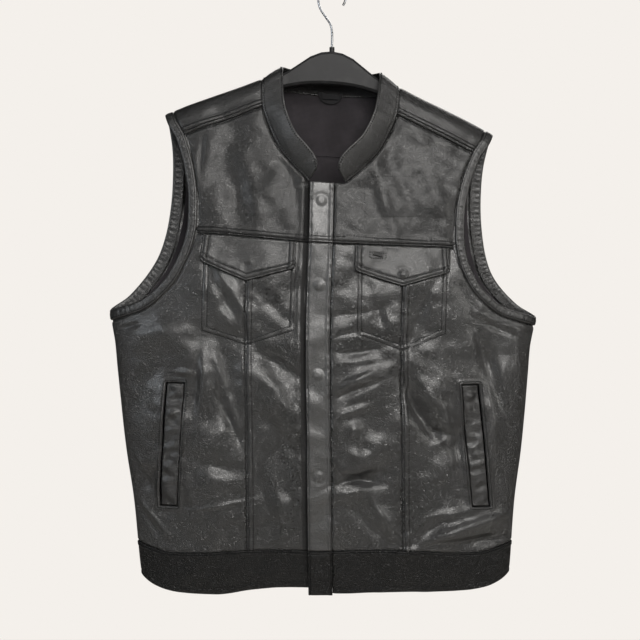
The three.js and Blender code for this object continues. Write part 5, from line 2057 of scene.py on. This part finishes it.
@dataclass
class Hem:
    """The band round the hem, in two fronts and a back."""

    finishes: Finishes

    def build(self, thread: Thread) -> None:
        """Builds the three bands.

        Args:
            thread: what sews the rows.
        """
        start = float(FORM.turns(PLACKET_SEAM_U + SEAM_GAP, WAIST_SEAM_Z)[0])
        lap = float(FORM.turns(-UNDERLAP_U, WAIST_SEAM_Z)[0])
        end = SIDE_TURN - SIDE_GAP_TURN
        back = SIDE_TURN + SIDE_GAP_TURN
        self.band("band_left", start, end, 1.0, closure_rise, 0.0, 1.8, thread)
        self.band("band_right", lap, end, -1.0, no_rise, 6.0, 1.8, thread)
        self.band("band_back", back, 2 * math.pi - back, 1.0, no_rise, 0.0, 3.0, thread)

    def band(
        self, node: str, start: float, end: float, flip: float, rise: Edge, drop: float, pitch: float,
        thread: Thread,
    ) -> None:
        """Builds one band between two turns round the body.

        Args:
            node: the solid that it stands for.
            start: the turn at which it starts.
            end: the turn at which it ends.
            flip: 1 for the wearer's left, -1 for the right.
            rise: how far it stands off the form.
            drop: how much higher its foot ends beside the closure; it hangs half as much lower at the side.
            pitch: the size of its cells.
            thread: sews its rows.
        """
        gap = SEAM_GAP / 2
        s = ruler(500 if node == "band_back" else 245, pitch)
        r = ruler(54, pitch)
        turn = start + (end - start) * s
        u = float(FORM.half_width(np.array(WAIST_SEAM_Z))) * np.sin(turn)
        top = waist_seam(u) - gap
        foot = HEM(np.abs(u))[..., 1] + drop * (1 - 1.5 * smoothstep(np.abs(u), 60, 150))
        z = top[None] + (foot - top)[None] * r[:, None]
        grid = np.stack([np.broadcast_to(turn[None], z.shape), z], axis=-1)
        seams = four_seams((OVER, ONE_ROW, 5), (FREE,), (BUTT,), (BUTT,))
        fold_u = u * flip
        fold = np.stack([fold_u, foot + 8.5], axis=-1)
        order = np.argsort(fold[:, 0])

        def turned_edge(places: Places) -> Array:
            """The step where the turned leather inside the band ends."""
            line = np.interp(places.u, fold[order, 0], fold[order, 1])
            return -0.35 * bell(places.z - line, 1.1) + 0.25 * smoothstep(line - places.z, 0, 3)

        above = "back_panel" if node == "band_back" else node.replace("band", "centre")
        Panel(
            node, grid, self.finishes.band, seams, flip=flip, rise=rise,
            lift=-HEM_LEAN * r[:, None] ** 1.4 * (1 - smoothstep(np.abs(u), 150, 222))[None],
            rests_on=(above,), hidden=under_placket if node == "band_right" else None, detail=turned_edge,
        ).build(thread)


def back_edges(bottom_gap: float, inset: float = 0.0) -> tuple[Edge, Edge, Edge, Edge]:
    """The back panel's four edges, or those of the lining a little inside them.

    Args:
        bottom_gap: how far the bottom stays above the waist seam.
        inset: how far the other edges stay inside the panel's.

    Returns:
        The top, bottom, inner and outer edge.
    """
    drop = YOKE_BACK_DROP + SEAM_GAP / 2 + inset

    def yoke_seam(t: Array) -> Array:
        """The edge under the yokes."""
        u = YOKE_BACK_U[0] + (YOKE_BACK_U[1] - YOKE_BACK_U[0]) * t
        return FORM.turns(u, FORM.ridge(u) - drop, B)

    neck = [yoke_seam(np.array(1.0)), *(FORM.turns(u, z - inset, B) for u, z in NECK_BACK)]
    neckline = through(neck)
    far = SIDE_TURN + SIDE_GAP_TURN + inset / 18

    def mirrored(edge: Edge) -> Edge:
        """The edge mirrored to the other side, run the other way."""

        def line(t: Array) -> Array:
            """The mirrored point at each share."""
            pairs = edge(1 - t)
            return np.stack([2 * math.pi - pairs[..., 0], pairs[..., 1]], axis=-1)

        return line

    def seam_z(turn: Array) -> Array:
        """The seam's height at each turn."""
        return waist_seam(float(FORM.half_width(np.array(WAIST_SEAM_Z))) * np.sin(turn)) + bottom_gap

    side_foot = float(seam_z(np.array(SIDE_TURN)))
    down = chain(
        (lambda t: ARMHOLE_SEAM(1 - (1 - ARMPIT_KNOT) * t), 16 / 28),
        (straight((SIDE_TURN, ARMPIT_Z), (SIDE_TURN, side_foot)), 12 / 28),
    )
    highest = height_at(yoke_seam, 0.0)

    def inner(t: Array) -> Array:
        """One side edge."""
        pairs = down(t)
        turn = np.maximum(pairs[..., 0] + inset / 120, far)
        return np.stack([turn, np.minimum(pairs[..., 1], highest)], axis=-1)

    def outer(t: Array) -> Array:
        """The other side edge."""
        pairs = inner(t)
        return np.stack([2 * math.pi - pairs[..., 0], pairs[..., 1]], axis=-1)

    def bottom(t: Array) -> Array:
        """The edge over the hem band."""
        turn = far + (2 * math.pi - 2 * far) * t
        return np.stack([turn, seam_z(turn)], axis=-1)

    top = chain(
        (yoke_seam, 6 / 22), (neckline, 5 / 22), (mirrored(neckline), 5 / 22), (mirrored(yoke_seam), 6 / 22)
    )
    return top, bottom, inner, outer


@dataclass
class Back:
    """The one-piece back."""

    finishes: Finishes
    pitch: float = 3.0

    def build(self, thread: Thread) -> None:
        """Builds the back panel.

        Args:
            thread: what sews the rows.
        """
        edges = back_edges(SEAM_GAP / 2)
        grid = between(*edges, ruler(480, self.pitch), ruler(590, self.pitch))
        seams = four_seams((UNDER,), (UNDER,), (BUTT,), (BUTT,))
        Panel(
            "back_panel", grid, self.finishes.leather, seams, ripple=0.55, deepest=-1.5,
            rests_on=("yoke_left", "yoke_right"),
        ).build(thread)


@dataclass
class Lining:
    """What shows inside: the mesh back lining, a bare label, a hanging loop and its bare tab."""

    finishes: Finishes
    thickness: float = 0.7
    gap: float = 2.0
    slack: float = 4.0
    seam_z: float = -212.0
    neck_z: float = -139.8

    def lift(self, places: Places) -> Array:
        """How far inside the back's face the lining hangs."""
        across = np.cos(math.pi / 2 * places.u / FORM.half_width(places.z))
        down = np.sin(math.pi * (self.neck_z - places.z) / (self.neck_z - WAIST_SEAM_Z))
        return -2.0 - self.gap - self.slack * np.maximum(across * down, 0)

    def waves(self, places: Places) -> Array:
        """The lining's own hanging folds and its level seam."""
        soft = Ripple(46, 0.9, 51).height(places.u, places.z * 0.35)
        seam = 0.7 * bell(places.z - self.seam_z, 1.4)
        calm = smoothstep(self.neck_z - places.z, 2, 60)
        return np.minimum(soft * calm, 1.2) - seam

    def build(self, thread: Thread) -> None:
        """Builds the lining and what is sewn on it.

        Args:
            thread: what sews the rows.
        """
        edges = back_edges(4.0, 4.0)
        grid = between(*edges, ruler(470, 4.0), ruler(580, 4.0))
        places = FORM.around(grid)
        Panel(
            "lining_back", grid, self.finishes.mesh, lift=self.lift(places), thickness=self.thickness,
            slot="lining", rests_on=("back_panel",), ripple=0.3, detail=self.waves,
            hidden=lambda p: np.ones(p.u.shape),
        ).build(thread)
        self.patch("neck_label", (-34, 30), (-222, -268), 0.0, thread)
        self.patch("size_tab", (-11, 11), (-140, -147), 1.6 + 3 * SEAM_GAP, thread)
        self.loop()

    def patch(self, node: str, u: Sequence[float], z: Sequence[float], over: float, thread: Thread) -> None:
        """Builds a small bare patch that faces into the vest.

        Args:
            node: the solid that it stands for.
            u: its two sides.
            z: its top and bottom.
            over: how far it stands off the lining.
            thread: sews its edge.
        """
        s, r = ruler(u[1] - u[0], 1.5), ruler(z[0] - z[1], 1.5)
        grid = FORM.turns((u[0] + (u[1] - u[0]) * s)[None], (z[0] + (z[1] - z[0]) * r)[:, None], B)
        places = FORM.around(grid)
        lift = self.lift(places) - 1.0 - SEAM_GAP - over - 0.8
        Panel(
            node,
            grid,
            self.finishes.mesh if node == "neck_label" else self.finishes.tape,
            lift=lift,
            thickness=0.7,
            seams=tuple(Seam(rim, FREE, (1.6,)) for rim in Rim) if node == "neck_label" else (),
            slot="label",
            rests_on=("lining_back",),
            ripple=0.1,
            inside_out=True,
            thread_material=self.finishes.accent,
            hidden=lambda p: np.ones(p.u.shape),
        ).build(thread)

    def loop(self) -> None:
        """Builds the hanging loop, a narrow tape that sags below the back neck."""
        half_span, sag, width, thickness, depth, top = 14.0, 13.0, 6.0, 1.4, 5.3, -138.0
        turn = np.linspace(0, math.pi, 49)
        across, down = -np.cos(turn), -np.sin(turn)
        y = float(BODY_SHAPE(np.array(top))[2]) - depth
        around = np.linspace(0, 2 * math.pi, 16, endpoint=False)
        ring_out = np.sign(np.cos(around)) * np.abs(np.cos(around)) ** 0.35 * width / 2
        ring_y = np.sign(np.sin(around)) * np.abs(np.sin(around)) ** 0.35 * thickness / 2 - thickness / 2
        x = half_span * across[:, None] + across[:, None] * ring_out[None]
        z = top + sag * down[:, None] + down[:, None] * ring_out[None]
        points = FORM.hung(np.stack([x, np.broadcast_to(y + ring_y[None], x.shape), z], axis=-1))
        faces = [list(face) for face in grid_faces(49, 16, ring=True)]
        faces += [list(range(16)), list(range(48 * 16 + 15, 48 * 16 - 1, -1))]
        piece = made_mesh("hanging_loop_tape", points, faces)
        map_cloth(piece, np.stack([ring_out[None] + 0 * x, turn[:, None] * half_span + 0 * x], axis=-1))
        fitted(piece, self.finishes.tape, "lining", "hanging_loop")


@dataclass
class Bindings:
    """The folded strips that cover the armholes' raw edges."""

    finishes: Finishes
    sewn_at: float = 2.8
    flat_width: float = 29.0
    pitch: float = 1.7
    section: tuple[tuple[float, float], ...] = (
        (0.5, 0.6),
        (1.6, 1.35),
        (4.5, 1.55),
        (8.5, 1.35),
        (11.4, 0.5),
        (12.4, -1.1),
        (11.4, -2.6),
        (8.5, -3.3),
        (4.0, -3.4),
        (1.2, -3.5),
        (-2.6, -3.4),
        (-3.4, -2.8),
        (-2.6, -2.15),
        (0.0, -2.1),
        (0.35, -0.8),
    )

    def ring(self, half: Half) -> tuple[Array, Array, Array]:
        """The seam that the binding follows, its normals and the way across the binding.

        Args:
            half: which half of the front.

        Returns:
            The points, the normals and the ways across.
        """
        low = FORM.around(ARMHOLE_SEAM(np.linspace(0, 1, 250)))
        over = np.linspace(YOKE_BACK_OVER + 1.5, YOKE_FRONT_OVER - 1.5, 36)
        high = FORM.over_shoulder(np.stack([YOKE(over)[:, 1], over], axis=-1))
        u = np.concatenate([low.u, high.u]) * half.flip
        places = Places(u, np.concatenate([low.z, high.z]), np.concatenate([low.side, high.side]))
        point, normal = FORM.folded(places)
        run = np.linalg.norm(np.roll(point, -1, axis=0) - point, axis=1)
        at = np.concatenate([[0], np.cumsum(run)])
        count = int(at[-1] / self.pitch)
        steps = np.linspace(0, at[-1], count, endpoint=False)
        point, normal = (sampled(steps, at, np.concatenate([row, row[:1]])) for row in (point, normal))
        normal = unit(normal)
        along = np.roll(point, -1, axis=0) - np.roll(point, 1, axis=0)
        return point, normal, unit(-half.flip * np.cross(along, normal))

    def build(self, thread: Thread) -> None:
        """Builds both bindings with their ribs and sewn rows.

        Args:
            thread: what sews the rows.
        """
        for half in (LEFT, RIGHT):
            point, normal, across = self.ring(half)
            corners = np.array(self.section + self.section[:1])
            profile = walked(through(corners)(np.linspace(0, 1, 97)), 1.25)[:-1]
            arc = np.arange(len(point)) * self.pitch
            rib = np.sin(arc / 1.05 + 1.9 * np.sin(arc / 13.0) + half.flip) + 0.6 * np.sin(arc / 2.3 + 1.2)
            rib += 0.5 * np.sin(arc / 5.1)
            middle = bell(profile[:, 0] - 7.0, 3.6)
            row = bell(profile[:, 0] - self.sewn_at, 0.8) * (profile[:, 1] > 0)
            side_of = np.sign(profile[None, :, 1] + 0.9)
            out = profile[None, :, 1] + side_of * 0.3 * rib[:, None] * middle[None]
            out -= 0.35 * row[None]
            points = point[:, None] + across[:, None] * profile[None, :, :1]
            hung = FORM.hung(points + normal[:, None] * out[..., None])
            rows, columns = hung.shape[:2]
            faces = grid_faces(rows + 1, columns, ring=True) % (rows * columns)
            faces = faces if half.flip < 0 else faces[:, ::-1]
            piece = made_mesh(f"binding_{half.name}_cut", hung, faces)
            edge = np.maximum(profile[None, :, 0] - 0.3 + 0 * out, 0.0) + 1.0
            row_mm = np.abs(profile[None, :, 0] - self.sewn_at)
            store(piece, edge, np.where(profile[None, :, 1] > 0, row_mm, FAR))
            map_cloth(piece, np.stack([profile[None, :, 0] + 0 * out, arc[:, None] + 0 * out], axis=-1))
            fitted(piece, self.finishes.trim, "leather", f"binding_{half.name}")
            tree = face_tree(hung, faces)
            sewn = self.row(half, point + across * self.sewn_at + normal * 1.8, tree, thread)

    def row(self, half: Half, line: Array, tree: BVHTree, thread: Thread) -> Piece:
        """Sews the binding's row."""
        path = walked(FORM.hung(np.concatenate([line, line[:1]])), 3.4)[:-1]
        along = np.roll(path, -1, axis=0) - np.roll(path, 1, axis=0)
        return thread.sew(f"binding_{half.name}_thread", *set_on(tree, path, along), size=2.4)


@dataclass
class Collar:
    """The stand collar: one folded band round the neck, open at the centre front."""

    finishes: Finishes
    thickness: float = 3.0
    corner: float = 7.0
    seam_row: float = 2.4
    edge_row: float = 2.2
    fall: float = 1.3
    rows: tuple[tuple[float, float, Face, float, float, float], ...] = (
        (22.5, -264, F, 12, -50, -247),
        (35, -252.4, F, 17, -51, -233),
        (46.5, -241, F, 27, -51, -221),
        (64.8, -218.8, F, 43, -49, -203),
        (79.2, -189.6, F, 55, -44, -177),
        (86.2, -168, F, 60, -36, -154),
        (88.3, -145, F, 62.5, -22, -127),
        (88.6, -135.5, F, 63, -11, -117.5),
        (88.7, -131.1, F, 63.5, 0, -112.5),
        (87.2, -132.2, B, 62, 9, -110.5),
        (80.5, -134.2, B, 57, 17, -110),
        (70.5, -135.2, B, 50, 22, -110),
        (49, -136.4, B, 36, 26.5, -110.5),
        (25, -138, B, 19, 28.5, -111.5),
        (0, -138.6, B, 0, 29, -112),
    )

    def lines(self) -> tuple[Array, Array]:
        """The collar's seam and its free edge, from the left centre front round to the right.

        Returns:
            The seam and the free edge.
        """
        table = np.array([(u, z, face.value) for u, z, face, *_ in self.rows], float)
        seam, _ = FORM.folded(Places(table[:, 0], table[:, 1], table[:, 2]))
        edge = np.array([row[3:] for row in self.rows], float)

        def placed(points: Array, flip: float) -> Array:
            """The points on one side, with the left front's shift at the closure."""
            made = points.copy()
            made[:, 0] *= flip
            if flip > 0:
                made[:, 1] -= np.where(points[:, 1] < 0, closure_rise(points[:, 0]), 0.0)
            return FORM.hung(made)

        def round_neck(points: Array) -> Array:
            """The points round the whole neck."""
            right = placed(points[:-1], -1.0)[::-1]
            return through(np.concatenate([placed(points, 1.0), right]))(np.linspace(0, 1, 1200))

        return round_neck(seam), round_neck(edge)

    def build(self, thread: Thread) -> None:
        """Builds the collar with its rolled edge and sewn rows.

        Args:
            thread: what sews the rows.
        """
        seam, edge = self.lines()
        run = run_of((seam + edge) / 2)
        length = run[-1]
        at = ruler(length, 1.7) * length
        seam, edge = sampled(at, run, seam), sampled(at, run, edge)
        up = edge - seam
        height = np.linalg.norm(up, axis=1)
        out = unit(np.cross(np.gradient(seam + edge, axis=0), up))
        end = np.minimum(at, length - at)
        lost = self.corner - np.sqrt(np.maximum(self.corner**2 - np.maximum(self.corner - end, 0) ** 2, 0))
        reach = (height - 0.85 * lost)[:, None]
        q = np.concatenate([ruler(20, 1.2), ruler(20, 1.2)[::-1]])
        outer = np.concatenate([np.ones(len(q) // 2), -np.ones(len(q) // 2)])
        from_edge = (1 - q)[None] * reach
        from_seam = q[None] * reach - 0.75 * np.clip(1 - q / 0.06, 0, 1)[None]
        near = np.minimum(np.minimum(from_edge, from_seam + 1.4), end[:, None])
        lip = np.sqrt(np.clip(1 - np.clip(1 - near / self.fall, 0, 1) ** 2, 0.003, 1))
        pucker = np.sin(at / 1.9 + 1.5 * np.sin(at / 11.0)) + 0.6 * np.sin(at / 3.1 + 2.0)
        rows = bell(from_edge - self.edge_row, 0.8) + bell(from_seam - self.seam_row, 0.8)
        crown = 1.0 * np.sin(math.pi * np.clip(q, 0, 1))[None] * (outer > 0)[None]
        face = self.thickness / 2 * lip + (crown - 0.5 * rows + 0.2 * pucker[:, None] * (0.4 + rows)) * lip
        foot = smoothstep(seam[:, 1], 5, 15)[:, None] * ((outer < 0) * np.clip(1 - q / 0.25, 0, 1))[None]
        face = face + 3.0 * foot
        from_seam = from_seam - 5.0 * foot
        points = seam[:, None] + up[:, None] / height[:, None, None] * from_seam[..., None]
        points = points + out[:, None] * (outer[None] * face)[..., None]
        stations, around = points.shape[:2]
        faces = [list(face) for face in grid_faces(stations, around, ring=True)]
        faces += [list(range(around)), list(range(stations * around - 1, (stations - 1) * around - 1, -1))]
        piece = made_mesh("collar_cut", points, faces)
        recalculated(piece)
        row_mm = np.minimum(np.abs(from_edge - self.edge_row), np.abs(from_seam - self.seam_row))
        store(piece, near, np.where(outer[None] > 0, row_mm, FAR))
        map_cloth(piece, np.stack([at[:, None] + 0 * near, from_seam], axis=-1))
        fitted(piece, self.finishes.trim, "leather", "collar")
        tree = face_tree(points, faces)
        rows = []
        for rise in (np.full(height.shape, self.seam_row), reach[:, 0] - self.edge_row):
            line = seam + up / height[:, None] * rise[:, None] + out * 2.5
            path = walked(line[end > 2.4], 3.4)
            rows.append(set_on(tree, path, np.gradient(path, axis=0)))
        sewn = thread.sew("collar_thread", *joined(rows), size=2.4)


def recalculated(piece: Piece) -> None:
    """Turns a closed mesh's faces outwards.

    Args:
        piece: the object.
    """
    bpy.ops.object.select_all(action="DESELECT")
    bpy.context.view_layer.objects.active = piece
    piece.select_set(True)
    bpy.ops.object.mode_set(mode="EDIT")
    bpy.ops.mesh.select_all(action="SELECT")
    bpy.ops.mesh.normals_make_consistent(inside=False)
    bpy.ops.object.mode_set(mode="OBJECT")
    piece.select_set(False)


@dataclass
class Hanger:
    """The plastic coat hanger and its steel hook, and the snaps: solids that keep their shape."""

    finishes: Finishes

    def build(self, nodes: dict[str, Piece]) -> None:
        """Dresses the solids that stay.

        Args:
            nodes: the solids by name.
        """
        dress = {"hanger_body": self.finishes.plastic, "hanger_hook": self.finishes.steel}
        for name, node in nodes.items():
            material = dress.get(name) or (self.finishes.cap if "snap" in name else None)
            if material is not None:
                node.data.materials.clear()
                node.data.materials.append(material)


@dataclass
class Studio:
    """A pale floor, soft lights and the camera."""

    floor_z: float = -1.65
    wall_tone: tuple[float, float, float] = (0.905, 0.871, 0.831)
    camera_place: tuple[float, float, float] = (-0.0158, -1.4, -0.4422)
    lens: float = 59.66

    def floor(self) -> None:
        """Lays a plain pale floor well below the vest."""
        corner = 2600.0
        corners = ((-1, -1), (1, -1), (1, 1), (-1, 1))
        points = np.array([(x, y, self.floor_z / MM) for x, y in corners], float)
        points[:, :2] *= corner
        made = made_mesh("floor", points, [(0, 1, 2, 3)])
        shader = Shader("floor_plain")
        place = shader.place()
        noise = shader.node("ShaderNodeTexNoise", {"Vector": place, "Scale": 3.0}).outputs["Fac"]
        colour = shader.mixed(noise, (0.7, 0.67, 0.62), (0.74, 0.71, 0.66))
        made.data.materials.append(shader.dressed({"Base Color": colour, "Roughness": 0.8}))

    def light(self, name: str, place: tuple, size: tuple[float, float], power: float, tint: tuple) -> None:
        """Adds a soft light that looks at the vest's middle.

        Args:
            name: its name.
            place: where it stands, in metres.
            size: its width and height.
            power: its watts.
            tint: its colour.
        """
        data = bpy.data.lights.new(name, "AREA")
        data.shape = "RECTANGLE"
        data.size, data.size_y = size
        data.energy = power
        data.color = tint
        made = bpy.data.objects.new(name, data)
        bpy.context.scene.collection.objects.link(made)
        made.location = place
        aim = Vector((0.0, 0.0, -0.42)) - Vector(place)
        made.rotation_mode = "QUATERNION"
        made.rotation_quaternion = aim.to_track_quat("-Z", "Y")

    def surroundings(self) -> None:
        """Puts the pale room round the vest, which lights it less than it shows."""
        world = bpy.context.scene.world or bpy.data.worlds.new("studio")
        bpy.context.scene.world = world
        world.use_nodes = True
        nodes, links = world.node_tree.nodes, world.node_tree.links
        shown = nodes["Background"]
        shown.inputs["Color"].default_value = (*self.wall_tone, 1)
        shown.inputs["Strength"].default_value = 1.0
        dim = nodes.new("ShaderNodeBackground")
        dim.inputs["Color"].default_value = (*self.wall_tone, 1)
        dim.inputs["Strength"].default_value = 0.05
        seen = nodes.new("ShaderNodeLightPath")
        mix = nodes.new("ShaderNodeMixShader")
        links.new(seen.outputs["Is Camera Ray"], mix.inputs[0])
        links.new(dim.outputs[0], mix.inputs[1])
        links.new(shown.outputs[0], mix.inputs[2])
        links.new(mix.outputs[0], nodes["World Output"].inputs["Surface"])

    def build(self) -> None:
        """Sets the studio up."""
        self.floor()
        self.light("lamp_front", (0.42, -2.3, 0.42), (1.3, 0.8), 48.0, (1.0, 0.98, 0.95))
        self.light("lamp_above", (0.3, -1.2, 0.85), (0.8, 0.5), 16.0, (1.0, 0.98, 0.95))
        self.light("lamp_left", (-1.4, -1.0, -0.1), (0.5, 0.8), 7.0, (0.88, 0.94, 1.0))
        self.light("lamp_right", (1.4, -1.0, -0.1), (0.5, 0.8), 7.0, (1.0, 0.98, 0.93))
        self.light("lamp_back", (0.4, 1.9, 0.6), (1.6, 1.2), 16.0, (1.0, 0.98, 0.95))
        self.surroundings()
        bpy.context.scene.view_settings.view_transform = "Standard"
        data = bpy.data.cameras.new("camera")
        data.lens = self.lens
        data.sensor_width = 36.0
        data.clip_start, data.clip_end = 0.05, 20.0
        made = bpy.data.objects.new("camera", data)
        bpy.context.scene.collection.objects.link(made)
        made.location = self.camera_place
        made.rotation_euler = (math.pi / 2, 0.0, 0.0)
        bpy.context.scene.camera = made


def main() -> None:
    """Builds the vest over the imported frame."""
    logging.basicConfig(level=logging.INFO, format="%(name)s %(message)s")
    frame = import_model()
    Studio().build()
    finishes = Finishes()
    thread = Thread(finishes)
    Shoulders(finishes).build(thread)
    Fronts(finishes).build(thread)
    Closure(finishes).build(thread)
    Hem(finishes).build(thread)
    Back(finishes).build(thread)
    Lining(finishes).build(thread)
    Bindings(finishes).build(thread)
    Collar(finishes).build(thread)
    Hanger(finishes).build(frame["nodes"])


if __name__ == "__main__":
    main()
